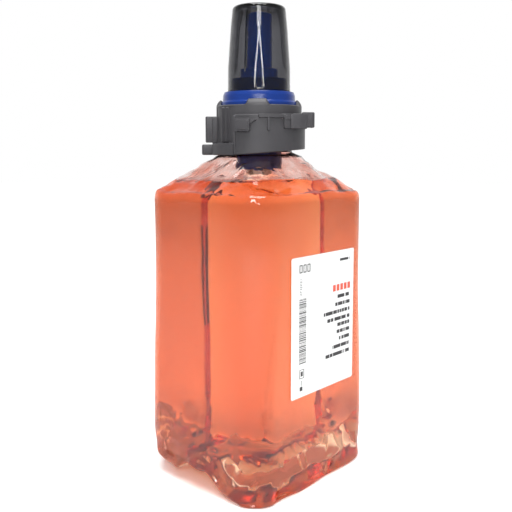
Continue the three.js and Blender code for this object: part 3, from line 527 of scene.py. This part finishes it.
def build_soap(rows, normals, walls):
    """The soap reaches a little into the wall, so no air shows between them."""
    held = rows - normals * (walls[:, None, None] - SOAP_REACH)
    last = int(np.argmax(held[:, :, 2].min(axis=1) > SOAP_Z + SOAP_ROOM))
    held = held[:last + 1]
    count = held.shape[1]
    verts = [tuple(v) for v in held.reshape(-1, 3)] + [tuple(held[0].mean(0)), tuple(held[-1].mean(0))]
    faces = ring_faces(0, len(held), count) + cap_fan(len(verts) - 2, 0, count)
    faces += cap_fan(len(verts) - 1, (len(held) - 1) * count, count, flip=True)
    soap = make_piece("soap_filling", verts, faces, SOAP, "root", ["liquid_soap"])
    work = bmesh.new()
    work.from_mesh(soap.data)
    # The level is cut flat while the soap is shifted by its ripples, so the cut comes back rippled.
    ripples = [soap_ripple(v.co) for v in work.verts]
    for vert, ripple in zip(work.verts, ripples):
        vert.co.z -= ripple
    cut = bmesh.ops.bisect_plane(work, geom=work.verts[:] + work.edges[:] + work.faces[:],
                                 plane_co=(0, 0, SOAP_Z * MM), plane_no=(0, 0, 1), clear_outer=True)
    rim = [e for e in cut["geom_cut"] if isinstance(e, bmesh.types.BMEdge)]
    bmesh.ops.triangle_fill(work, edges=rim, use_beauty=True)
    for vert in work.verts:
        vert.co.z += soap_ripple(vert.co)
    bmesh.ops.recalc_face_normals(work, faces=work.faces[:])
    for edge in rim:
        edge.smooth = False
    work.to_mesh(soap.data)
    work.free()


rows, normals, walls = build_bottle()
build_soap(rows, normals, walls)


# Pump, cap and inner pieces, all turned

PROFILES = {
    # name: (profile, corner radius, segments, material, body, slot, CAD node)
    "pump_body": ([
        (19.4, FLANGE_Z), (19.4, 196), (21.4, 196), (21.4, RING_STEP_Z - 0.8), (20.9, RING_STEP_Z),
        (20.3, RING_STEP_Z + 0.2), (20.1, RING_TOP_Z - 1.9), (19.4, RING_TOP_Z), (16.4, RING_TOP_Z),
        (15.9, RING_TOP_Z + 0.4), (15.9, BOSS_TOP_Z), (10.7, BOSS_TOP_Z), (10.7, BOSS_TOP_Z - 1.4),
        (11.6, BOSS_TOP_Z - 2.4), (11.6, BORE_FLOOR_Z), (6.4, BORE_FLOOR_Z), (6.4, WELL_TOP_Z),
        (5.2, WELL_TOP_Z), (5.2, BORE_FLOOR_Z), (2.6, BORE_FLOOR_Z), (2.6, HOUSING_FOOT_Z),
        (12.8, HOUSING_FOOT_Z), (12.8, BOSS_TOP_Z - 1.2), (14.7, BOSS_TOP_Z - 1.2), (14.7, RING_TOP_Z - 1.2),
        (16.3, RING_TOP_Z - 1.2), (16.3, FLANGE_Z),
    ], 0.45, 128, BLUE, "root", "blue_polypropylene", "pump_housing"),
    "nozzle_moulding": ([
        (5.4, SKIRT_TOP_Z - 1.3), (9.1, SKIRT_TOP_Z - 1.3), (9.1, SKIRT_FOOT_Z), (10.4, SKIRT_FOOT_Z),
        (10.4, SKIRT_TOP_Z), (7.9, SKIRT_TOP_Z), (7.1, SKIRT_TOP_Z + 0.8), (7.0, NOZZLE_TOP_Z),
        (4.5, NOZZLE_TOP_Z), (4.5, NOZZLE_TOP_Z - 3.4), (5.4, NOZZLE_TOP_Z - 4.3),
    ], 0.5, 96, NOZZLE_BLUE_PAINTED_LIGHT, "nozzle", "blue_polypropylene", "nozzle"),
}

for name, (profile, radius, segments, material, body, slot, node) in PROFILES.items():
    verts, faces = turned(rounded(profile, radius), segments)
    make_piece(name, verts, faces, material, body, [node], smooth_angle=35)


def cap_profile():
    """The cap's shell: a foot lip, a tapered wall and a nearly flat top."""
    return rounded([
        (16.2, CAP_FOOT_Z), (17.7, CAP_FOOT_Z), (17.4, CAP_FOOT_Z + 1.2), (17.3, 228.1), (15.8, 249.0),
        (14.6, CAP_TOP_Z - 0.6), (6, CAP_TOP_Z - 0.1), (0, CAP_TOP_Z), (0, CAP_TOP_Z - 1.6), (6, CAP_TOP_Z - 1.7),
        (13.2, CAP_TOP_Z - 2.0), (14.6, 249.0), (16.1, 228.1),
    ], 2.6, 8, loop=True)


verts, faces = turned(cap_profile(), 128)
make_piece("cap_shell", verts, faces, SMOKE, "overcap", ["overcap"], smooth_angle=40)


def repeated(name, verts, faces, material, count, turn, step):
    """Geometry nodes that copy one small mesh round Z, and leave plain geometry."""
    mesh = bpy.data.meshes.new(name + "_one")
    mesh.from_pydata([tuple(c * MM for c in v) for v in verts], [], faces)
    holder = bpy.data.objects.new(name + "_one", mesh)
    bpy.context.scene.collection.objects.link(holder)
    tree = bpy.data.node_groups.new(name, "GeometryNodeTree")
    tree.interface.new_socket("Geometry", in_out="INPUT", socket_type="NodeSocketGeometry")
    wanted = {}
    for label, kind, value in (("Count", "NodeSocketInt", count), ("First Turn", "NodeSocketFloat", turn),
                               ("Turn Step", "NodeSocketFloat", step)):
        socket = tree.interface.new_socket(label, in_out="INPUT", socket_type=kind)
        wanted[socket.identifier] = value
    tree.interface.new_socket("Geometry", in_out="OUTPUT", socket_type="NodeSocketGeometry")
    given = add_node(tree, "NodeGroupInput")
    points = add_node(tree, "GeometryNodePoints", links={"Count": given.outputs["Count"]})
    index = add_node(tree, "GeometryNodeInputIndex")
    turned_by = add_node(tree, "ShaderNodeMath", {"operation": "MULTIPLY_ADD"}, {
        0: index.outputs[0], 1: given.outputs["Turn Step"], 2: given.outputs["First Turn"]})
    rotation = add_node(tree, "ShaderNodeCombineXYZ", links={"Z": turned_by.outputs[0]})
    copies = add_node(tree, "GeometryNodeInstanceOnPoints", links={
        "Points": points.outputs[0], "Instance": given.outputs["Geometry"], "Rotation": rotation.outputs[0]})
    real = add_node(tree, "GeometryNodeRealizeInstances", links={"Geometry": copies.outputs[0]})
    dressed = add_node(tree, "GeometryNodeSetMaterial", {"Material": material}, {"Geometry": real.outputs[0]})
    add_node(tree, "NodeGroupOutput", links={"Geometry": dressed.outputs[0]})
    return evaluated(holder, tree, wanted, name)


def evaluated(holder, tree, wanted, name):
    """The plain mesh that a node tree makes of an object, whose modifier and holder are then removed."""
    modifier = holder.modifiers.new("nodes", "NODES")
    modifier.node_group = tree
    for identifier, value in wanted.items():
        modifier[identifier] = value
    seen = holder.evaluated_get(bpy.context.evaluated_depsgraph_get())
    made = bpy.data.meshes.new_from_object(seen)
    made.name = name
    bpy.data.objects.remove(holder)
    bpy.data.node_groups.remove(tree)
    shown = bpy.data.objects.new(name, made)
    bpy.context.scene.collection.objects.link(shown)
    return shown


def plate_rib(outline_rz, thickness):
    """A rib's plate: an outline of (radius, height) with a thickness across it."""
    count = len(outline_rz)
    half = thickness / 2
    verts = [(r, -half, z) for r, z in outline_rz] + [(r, half, z) for r, z in outline_rz]
    faces = [tuple(range(count)), tuple(range(2 * count - 1, count - 1, -1))]
    faces += [(k, count + k, count + (k + 1) % count, (k + 1) % count) for k in range(count)]
    return verts, faces


RIB_OUTLINE = [(16.25, 225.1), (15.3, 239), (14.75, 249), (13.6, 257), (12.6, 259.9), (10.2, 259.9), (11.2, 256.5),
               (12.9, 249), (13.6, 239), (14.5, 229.1)]
verts, faces = plate_rib(RIB_OUTLINE, 0.8)
ribs = repeated("cap_ribs", verts, faces, SMOKE, 4, CLOSURE_TURN + math.radians(-28 - 90), math.pi / 2)
settle(ribs, None, "overcap", smooth_angle=30)


# Label: a sheet with its print in plain fields and bars

SHEET_X, SHEET_Z, SHEET_WIDTH, SHEET_HEIGHT = -24.7, 53.0, 56.0, 75.0
SHEET_BACK, SHEET_FRONT = -43.8, -43.975


def slab(x0, z0, x1, z1, back, front):
    """A thin box between two depths, for one mark of print."""
    verts = [(x, y, z) for y in (back, front) for x, z in ((x0, z0), (x1, z0), (x1, z1), (x0, z1))]
    return verts, [(3, 2, 1, 0), (4, 5, 6, 7), (0, 1, 5, 4), (1, 2, 6, 5), (2, 3, 7, 6), (3, 0, 4, 7)]


def build_label():
    x1, z1 = SHEET_X + SHEET_WIDTH, SHEET_Z + SHEET_HEIGHT
    edge = rounded([(SHEET_X, SHEET_Z), (x1, SHEET_Z), (x1, z1), (SHEET_X, z1)], 1.2, 6)
    count = len(edge)
    verts = [(x, SHEET_BACK, z) for x, z in edge] + [(x, SHEET_FRONT, z) for x, z in edge]
    faces = [tuple(range(count))[::-1], tuple(range(count, 2 * count))]
    faces += [(k, (k + 1) % count, count + (k + 1) % count, count + k) for k in range(count)]
    make_piece("label_sheet", verts, faces, LABEL, "root", ["front_label"], smooth_angle=30)

    pick = random.Random(41)
    dark, red = [], []

    def bar(kind, u0, v0, u1, v1):
        """A printed bar, placed in shares of the sheet from its upper left corner."""
        kind.append((SHEET_X + u0 * SHEET_WIDTH, z1 - v1 * SHEET_HEIGHT,
                     SHEET_X + u1 * SHEET_WIDTH, z1 - v0 * SHEET_HEIGHT))

    def broken_line(kind, u0, u1, v0, v1, pieces):
        """A line of blocks of uneven length, like print seen from afar."""
        cuts = sorted(pick.uniform(u0, u1) for _ in range(pieces - 1))
        for start, end in zip([u0] + cuts, cuts + [u1]):
            if end - start > 0.014:
                bar(kind, start, v0, end - 0.008, v1)

    for u in (0.115, 0.175, 0.235):
        for line in ((u, 0.055, u + 0.045, 0.062), (u, 0.105, u + 0.045, 0.112), (u, 0.062, u + 0.012, 0.105),
                     (u + 0.033, 0.062, u + 0.045, 0.105)):
            bar(dark, *line)
    v = 0.155
    while v < 0.275:
        length = pick.uniform(0.004, 0.010)
        bar(dark, 0.125, v, 0.125 + pick.uniform(0.02, 0.04), v + length * 0.5)
        v += length + 0.004
    v = 0.295
    while v < 0.755:
        bold = pick.choice((0.0025, 0.0025, 0.005, 0.008))
        bar(dark, 0.115, v, 0.222, v + bold)
        v += bold + pick.choice((0.0025, 0.0035, 0.006))
    for line in ((0.125, 0.800, 0.195, 0.804), (0.125, 0.862, 0.195, 0.866), (0.125, 0.804, 0.134, 0.862),
                 (0.186, 0.804, 0.195, 0.862), (0.145, 0.815, 0.175, 0.850), (0.148, 0.880, 0.156, 0.918),
                 (0.130, 0.925, 0.170, 0.955)):
        bar(dark, *line)
    broken_line(dark, 0.76, 0.945, 0.062, 0.080, 4)
    for u in (0.648, 0.710, 0.772, 0.834, 0.896):
        bar(red, u, 0.252, u + 0.046, 0.300)
    lines = ((0.72, 0.343), (0.69, 0.400), (0.50, 0.456), (0.56, 0.510), (0.73, 0.557), (0.72, 0.609),
             (0.76, 0.663), (0.645, 0.720), (0.525, 0.776))
    for u, middle in lines:
        broken_line(dark, u, 0.945, middle - 0.013, middle + 0.013, int((0.945 - u) / 0.045))

    for name, kind, material in (("label_print_black", dark, INK_BLACK), ("label_print_red", red, INK_RED)):
        verts, faces = [], []
        for x0, z0, x1, z1 in kind:
            points, sides = slab(x0, z0, x1, z1, SHEET_FRONT + 0.004, SHEET_FRONT - 0.018)
            faces += [tuple(len(verts) + i for i in face) for face in sides]
            verts += points
        make_piece(name, verts, faces, material, "root", smooth_angle=30)


build_label()


# Keyed collar: its outside is drawn as a height over (angle, z), and its lugs are rounded plates.
# Angles run about the axis from the front tab, positive to the tab's right.

TUBE_RADIUS, BAND_RADIUS, LEDGE_RADIUS, COLLAR_BORE = 23.9, 25.9, 27.3, 22.0
BAND_TOP, BAND_FOOT = 201.9, 181.3
BAND_TILT = math.tan(math.radians(4.5))
NECK_LIP, LEDGE_FOOT = 19.0, 180.1
TABS = (-3, 87, 177, 267)


def patch(angle, z, from_angle, to_angle, foot, top, out, corner=0.7, edge=0.22):
    """A raised rounded patch: its height at each point of the collar's outside."""
    middle, half = math.radians(from_angle + to_angle) / 2, math.radians(to_angle - from_angle) / 2 * TUBE_RADIUS
    across = np.abs((angle - middle) * TUBE_RADIUS) - half + corner
    along = np.abs(z - (foot + top) / 2) - (top - foot) / 2 + corner
    gap = np.hypot(np.maximum(across, 0), np.maximum(along, 0)) + np.minimum(np.maximum(across, along), 0) - corner
    return out * (1 - smooth_step(gap, -edge, edge))


def collar_outside(angle, z):
    """Radius of the collar's outside: its band, ledge, blocks, snap window's frame and key grooves."""
    out = patch(angle, z, -33, 205, BAND_FOOT - 4, BAND_TOP, 2.0, 0.5)
    out = np.maximum(out, patch(angle, z, -33.5, -29.5, BAND_FOOT - 4, BAND_TOP - 0.6, 2.6, 0.6))
    out = np.maximum(out, patch(angle, z, -73, -31, 178, 186.6, LEDGE_RADIUS - TUBE_RADIUS, 0.9))
    out = np.maximum(out, patch(angle, z, -29, -10.8, BAND_TOP - 9.2, BAND_TOP - 1.9, 4.2, 0.9))
    out = np.maximum(out, patch(angle, z, -27.5, -12.2, BAND_TOP - 8.2, BAND_TOP - 2.8, 4.5, 0.9))
    for step in range(5):
        out = np.maximum(out, patch(angle, z, -12.5, -3.6 - step * 1.6, BAND_TOP - 3.4 - step * 0.45,
                                    BAND_TOP - 2.6, 3.2, 0.3))
    out = np.maximum(out, patch(angle, z, -1.2, 31, BAND_TOP - 1.9, BAND_TOP + 0.1, 3.1, 0.6))
    out = np.maximum(out, patch(angle, z, 8.6, 12.2, BAND_TOP - 8.8, BAND_TOP - 1.2, 3.1, 1.3))
    out = np.maximum(out, patch(angle, z, 29, 66, BAND_TOP - 7.6, BAND_TOP + 0.4, 3.4, 1.2))
    out = np.maximum(out, patch(angle, z, 30.5, 66, BAND_TOP - 3.0, BAND_TOP - 0.4, 3.7, 0.5))
    out -= patch(angle, z, -78, -35.3, 187.2, COLLAR_TOP_Z - 1.3, 0.9, 0.6)
    for middle in (-57.5, -49.5, -41.5):
        out -= patch(angle, z, middle - 2.2, middle + 2.2, 187.3, COLLAR_TOP_Z - 1.6, 0.95, 0.7, 0.2)
    for middle in (-53.4, -45.4):
        out = np.maximum(out, patch(angle, z, middle - 1.3, middle + 1.3, 187, COLLAR_TOP_Z - 1.2, 1.8, 0.7, 0.25)
                         - 0.3)
    return TUBE_RADIUS + out


def tab_rise(angle):
    """How high the collar's rim stands over its level at each angle: four snap tabs."""
    rise = np.zeros_like(angle)
    for tab in TABS:
        off = np.abs((angle - math.radians(tab) + math.pi) % (2 * math.pi) - math.pi) * TUBE_RADIUS
        rise = np.maximum(rise, 3.0 * (1 - smooth_step(off, 5.0, 7.4)))
    return rise


def build_collar():
    fine = np.arange(-82, 72, 0.42)
    coarse = np.arange(72, 278, 1.3)
    angle = np.radians(np.concatenate([fine, coarse]))
    count = len(angle)
    rise = tab_rise(angle)
    rings = []

    def ring(radius, z):
        radius = np.broadcast_to(radius, count)
        z = np.broadcast_to(z, count)
        rings.append(np.column_stack([radius * np.sin(angle), -radius * np.cos(angle), z]))

    across = BAND_RADIUS * np.sin(angle)
    foot = np.maximum(BAND_FOOT + across * BAND_TILT, COLLAR_FOOT_Z - 0.9)
    foot = np.where(angle < math.radians(-31), LEDGE_FOOT, foot)
    foot = np.maximum(foot, LEDGE_FOOT)
    start = foot.max() + 1.2
    ring(collar_outside(angle, foot) - 0.7, foot)
    ring(collar_outside(angle, foot + 0.1) - 0.2, foot + 0.15)
    for share in np.linspace(0, 1, 16):
        z = foot + 0.5 + (start - foot - 0.5) * share
        ring(collar_outside(angle, z), z)
    for z in np.arange(start + 0.21, COLLAR_TOP_Z - 0.5, 0.21):
        ring(collar_outside(angle, z), z)
    body = collar_outside(angle, COLLAR_TOP_Z - 0.6)
    for share in np.linspace(0, 1, 9)[1:]:
        lean = np.where(rise > 0.3, 1.5 * share ** 2, 0)
        ring(body - lean - 0.15 * share, COLLAR_TOP_Z - 0.6 + (rise + 0.2) * share)
    top = COLLAR_TOP_Z - 0.4 + rise
    lean = np.where(rise > 0.3, 1.5, 0) + 0.15
    hook = np.where(rise > 0.3, 1.0, 0) * np.clip(rise / 3, 0, 1)
    ring(body - lean - 0.25, top + 0.27)
    ring(body - lean - 0.6, top + 0.4)
    ring(COLLAR_BORE + 0.5 - hook, top + 0.4)
    ring(COLLAR_BORE + 0.15 - hook, top + 0.25)
    ring(COLLAR_BORE - hook * 1.15, top - 0.1)
    ring(COLLAR_BORE - hook * 1.15, np.maximum(top - 1.6, COLLAR_TOP_Z - 0.6))
    for z in (COLLAR_TOP_Z - 1.2, 200, 195, 190, 186.2, 185.6):
        ring(COLLAR_BORE, z)
    ring(COLLAR_BORE - 0.4, 185.1)
    ring(NECK_LIP + 0.3, 184.4)
    ring(NECK_LIP, 184.1)
    ring(NECK_LIP, 183.0)
    inner_foot = np.maximum(foot, 181.4)
    ring(NECK_LIP + 0.3, np.minimum(inner_foot + 0.3, 183.3))
    ring(20.0, inner_foot)
    verts = np.concatenate(rings)
    faces = ring_faces(0, len(rings), count)
    last = (len(rings) - 1) * count
    faces += [(last + k, last + (k + 1) % count, (k + 1) % count, k) for k in range(count)]

    def lug(outline, foot, top, bevel=0.7, steps=3, corner=1.2):
        """A rounded plate from an outline in the closure's frame."""
        nonlocal verts, faces
        flat = np.array(rounded(outline, corner, 5))
        before, after = np.roll(flat, 1, axis=0), np.roll(flat, -1, axis=0)
        along = after - before
        normal = np.column_stack([along[:, 1], -along[:, 0]])
        normal /= np.maximum(np.linalg.norm(normal, axis=1, keepdims=True), 1e-9)
        turns = np.linspace(0, math.pi / 2, steps + 1)
        layers = [(bevel * (1 - math.sin(a)), foot + bevel * (1 - math.cos(a))) for a in turns]
        layers += [(bevel * (1 - math.cos(a)), top - bevel * (1 - math.sin(a))) for a in turns]
        first = len(verts)
        made = [np.column_stack([flat - normal * inset, np.full(len(flat), z)]) for inset, z in layers]
        verts = np.concatenate([verts, *made])
        faces += ring_faces(first, len(made), len(flat))
        faces.append(tuple(range(first, first + len(flat)))[::-1])
        last = first + (len(made) - 1) * len(flat)
        faces.append(tuple(range(last, last + len(flat))))

    # The wing on the right, then the ledge and the upright wing on the left.
    lug([(20.5, -19.0), (15.6, -22.6), (22.0, -21.0), (25.8, -18.6), (25.8, -6), (22.6, -6)],
        BAND_TOP - 7.6, BAND_TOP + 0.5, 0.6)
    lug([(22.6, -18.6), (28.8, -17.2), (29.9, -16.0), (29.9, -8.5), (24.2, -5.0)],
        BAND_TOP - 6.8, BAND_TOP + 1.4, 0.8)
    lug([(28.2, -17.0), (29.9, -16.4), (29.9, -8.7), (28.2, -7.6)],
        BAND_TOP - 6.9, BAND_TOP + 1.4, 0.6, corner=0.6)
    lug([(-23.3, 8.0), (-31.0, 6.0), (-32.1, 5.0), (-32.1, -2.3), (-31.4, -3.0), (-23.0, -3)],
        LEDGE_FOOT, 186.0, 0.8)
    lug([(-23.0, 0.4), (-30.0, 0.4), (-30.0, -2.4), (-29.3, -3.0), (-23.0, -3.0)],
        187.0, 201.5, 0.6, corner=0.8)
    lug([(-23.0, 0.4), (-26.3, 0.2), (-26.3, -3.6), (-23.0, -4.0)],
        186.4, 201.2, 0.6, corner=0.8)
    turn = np.array([[math.cos(CLOSURE_TURN), math.sin(CLOSURE_TURN)],
                     [-math.sin(CLOSURE_TURN), math.cos(CLOSURE_TURN)]])
    verts = np.column_stack([verts[:, :2] @ turn, verts[:, 2]])
    make_piece("collar_moulding", [tuple(v) for v in verts], faces, COLLAR, "root",
               ["keyed_collar"], smooth_angle=50)


build_collar()


for node, material in (("neck_gasket", ELASTOMER), ("intake_cage", NATURAL), ("inlet_valve", ELASTOMER),
                       ("upper_screen", MESH_CLOTH), ("screen_holder", NATURAL), ("lower_screen", MESH_CLOTH),
                       ("mixing_ring", NATURAL), ("outlet_valve", ELASTOMER), ("piston_stem", NATURAL),
                       ("liquid_piston", ELASTOMER), ("air_piston", NATURAL), ("air_valve", ELASTOMER)):
    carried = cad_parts[node]
    carried.data.materials.clear()
    carried.data.materials.append(material)


# Studio

def lamp(name, place, aim, width, height, power):
    data = bpy.data.lights.new(name, "AREA")
    data.shape, data.size, data.size_y, data.energy = "RECTANGLE", width, height, power
    shown = bpy.data.objects.new(name, data)
    bpy.context.scene.collection.objects.link(shown)
    shown.location = place
    shown.rotation_euler = (Vector(aim) - Vector(place)).to_track_quat("-Z", "Y").to_euler()
    shown.visible_camera = False
    return shown


CAMERA_PLACE = (-0.3077, -0.2713, 0.1853)
VIEW_HEADING, VIEW_PITCH = math.radians(-48.6), math.radians(-6.7)
VIEW_WAY = Vector((-math.sin(VIEW_HEADING) * math.cos(VIEW_PITCH),
                   math.cos(VIEW_HEADING) * math.cos(VIEW_PITCH), math.sin(VIEW_PITCH)))


# How bright the room is on matt faces, and to the sides in gloss and through clear faces; the floor's own glow.
MATT_LIGHT, GLOSS_SIDES, CLEAR_SIDES, FLOOR_GLOW = 0.33, 0.3, 0.8, 0.8


def dimmed_sides(tree, way, side):
    """White straight behind the object and dimmer to the sides, by the direction that a ray goes."""
    facing = add_node(tree, "ShaderNodeVectorMath", {"operation": "DOT_PRODUCT", 1: VIEW_WAY}, {0: way})
    back = add_node(tree, "ShaderNodeMapRange", {
        "interpolation_type": "SMOOTHSTEP", "From Min": 0.1, "From Max": 0.8, "To Min": side, "To Max": 1.0,
    }, {"Value": facing.outputs["Value"]})
    return back.outputs[0]


def studio():
    scene = bpy.context.scene
    scene.view_settings.view_transform = "Standard"
    # Light passes many clear faces here: cap, bottle, soap, and the same again behind them.
    scene.cycles.max_bounces = 36
    scene.cycles.transmission_bounces = 36
    scene.cycles.glossy_bounces = 12
    world = bpy.data.worlds.new("white_studio")
    scene.world = world
    world.use_nodes = True
    tree = world.node_tree
    tree.nodes.clear()
    path = add_node(tree, "ShaderNodeLightPath")
    clear = add_node(tree, "ShaderNodeMath", {"operation": "MAXIMUM"},
                     {0: path.outputs["Is Glossy Ray"], 1: path.outputs["Is Transmission Ray"]})
    way = add_node(tree, "ShaderNodeTexCoord").outputs["Generated"]
    around = add_node(tree, "ShaderNodeMix", links={
        "Factor": path.outputs["Is Transmission Ray"], "A": dimmed_sides(tree, way, GLOSS_SIDES),
        "B": dimmed_sides(tree, way, CLEAR_SIDES)})
    soft = add_node(tree, "ShaderNodeMix", {"A": MATT_LIGHT}, {"Factor": clear.outputs[0], "B": around.outputs[0]})
    strength = add_node(tree, "ShaderNodeMix", {"B": 1.0}, {
        "Factor": path.outputs["Is Camera Ray"], "A": soft.outputs[0]})
    backdrop = add_node(tree, "ShaderNodeBackground", {"Color": srgb("#FFFFFF")}, {"Strength": strength.outputs[0]})
    add_node(tree, "ShaderNodeOutputWorld", links={"Surface": backdrop.outputs[0]})

    floor_mesh = bpy.data.meshes.new("studio_floor")
    reach, level = 3.0, -0.0002
    floor_mesh.from_pydata([(x * reach, y * reach, level) for x, y in ((-1, -1), (1, -1), (1, 1), (-1, 1))],
                           [], [(0, 1, 2, 3)])
    floor = bpy.data.objects.new("studio_floor", floor_mesh)
    scene.collection.objects.link(floor)
    material = bpy.data.materials.new("white_sweep")
    material.use_nodes = True
    tree = material.node_tree
    tree.nodes.clear()
    path = add_node(tree, "ShaderNodeLightPath")
    place = add_node(tree, "ShaderNodeTexCoord").outputs["Object"]
    way = add_node(tree, "ShaderNodeVectorMath", {"operation": "NORMALIZE"}, {0: place})
    around = dimmed_sides(tree, way.outputs[0], CLEAR_SIDES)
    plain = add_node(tree, "ShaderNodeMix", {"B": 1.0}, {"Factor": path.outputs["Is Camera Ray"], "A": around})
    paper = add_node(tree, "ShaderNodeBsdfDiffuse", {"Color": srgb("#F4F4F4")})
    dim = add_node(tree, "ShaderNodeBsdfDiffuse", {"Color": srgb("#000000")})
    sheet = add_node(tree, "ShaderNodeMixShader", links={0: plain.outputs[0], 1: dim.outputs[0], 2: paper.outputs[0]})
    # Painted light under the pack: the floor's glow fades to half round it, a painted shadow, and turns orange right
    # under it, a painted pool of the light that comes through the soap.
    away = add_node(tree, "ShaderNodeVectorMath", {"operation": "LENGTH"}, {0: place})
    painted_shadow_fade = add_node(tree, "ShaderNodeMapRange", {
        "interpolation_type": "SMOOTHSTEP", "From Min": 0.05, "From Max": 0.12, "To Min": 0.5, "To Max": 1.0,
    }, {"Value": away.outputs["Value"]})
    lit = add_node(tree, "ShaderNodeMath", {"operation": "MULTIPLY"}, {0: plain.outputs[0], 1: painted_shadow_fade.outputs[0]})
    glow_strength = add_node(tree, "ShaderNodeMath", {"operation": "MULTIPLY", 1: FLOOR_GLOW}, {0: lit.outputs[0]})
    # Painted pool of orange light right under the pack, as if it had passed through the soap.
    painted_pool_fade = add_node(tree, "ShaderNodeMapRange", {
        "interpolation_type": "SMOOTHSTEP", "From Min": 0.045, "From Max": 0.07}, {"Value": away.outputs["Value"]})
    tint = add_node(tree, "ShaderNodeMix", {"data_type": "RGBA"}, {"Factor": painted_pool_fade.outputs[0]})
    tint.inputs["A"].default_value = srgb("#F27B42")
    tint.inputs["B"].default_value = srgb("#FFFFFF")
    glow = add_node(tree, "ShaderNodeEmission", links={
        "Color": tint.outputs["Result"], "Strength": glow_strength.outputs[0]})
    both = add_node(tree, "ShaderNodeAddShader", links={0: sheet.outputs[0], 1: glow.outputs[0]})
    seen = add_node(tree, "ShaderNodeMath", {"operation": "MAXIMUM"},
                    {0: path.outputs["Is Camera Ray"], 1: path.outputs["Is Transmission Ray"]})
    choice = add_node(tree, "ShaderNodeMixShader", links={
        0: seen.outputs[0], 1: paper.outputs[0], 2: both.outputs[0]})
    add_node(tree, "ShaderNodeOutputMaterial", links={"Surface": choice.outputs[0]})
    floor_mesh.materials.append(material)

    lamp("overhead", (-0.25, -0.2, 1.5), (0, 0, 0.1), 1.0, 1.0, 26)
    # Two thin lights lean together under a short upright one near the camera: the narrow peaked highlight.
    cap_middle = Vector((0, 0, 0.24))
    distance = 1.1
    for side, foot, top, width, power in (
            (-1, (-19, 4), (-0.5, 19), 0.06, 1.4), (1, (19, 4), (0.5, 19), 0.06, 1.4),
            (0, (0, 19), (0, 32), 0.3, 2.8)):
        ends = []
        for turn, rise in (foot, top):
            heading = VIEW_HEADING + math.pi + math.radians(turn)
            level = math.cos(math.radians(rise))
            ends.append(cap_middle + distance * Vector((-math.sin(heading) * level, math.cos(heading) * level,
                                                        math.sin(math.radians(rise)))))
        along = (ends[1] - ends[0]).normalized()
        middle = (ends[0] + ends[1]) / 2
        strip = lamp(f"strip_{side}", middle, cap_middle, width, (ends[1] - ends[0]).length, power)
        back = (middle - cap_middle).normalized()
        across = along.cross(back).normalized()
        facing = Matrix((across, back.cross(across), back)).transposed().to_4x4()
        strip.matrix_world = Matrix.Translation(middle) @ facing

    camera = bpy.data.cameras.new("camera")
    camera.lens, camera.sensor_width = 50.7, 36
    camera.shift_x, camera.shift_y = -0.006, -0.05
    camera.clip_start, camera.clip_end = 0.01, 20
    eye = bpy.data.objects.new("camera", camera)
    scene.collection.objects.link(eye)
    eye.location = CAMERA_PLACE
    eye.rotation_euler = VIEW_WAY.to_track_quat("-Z", "Y").to_euler()
    scene.camera = eye


studio()
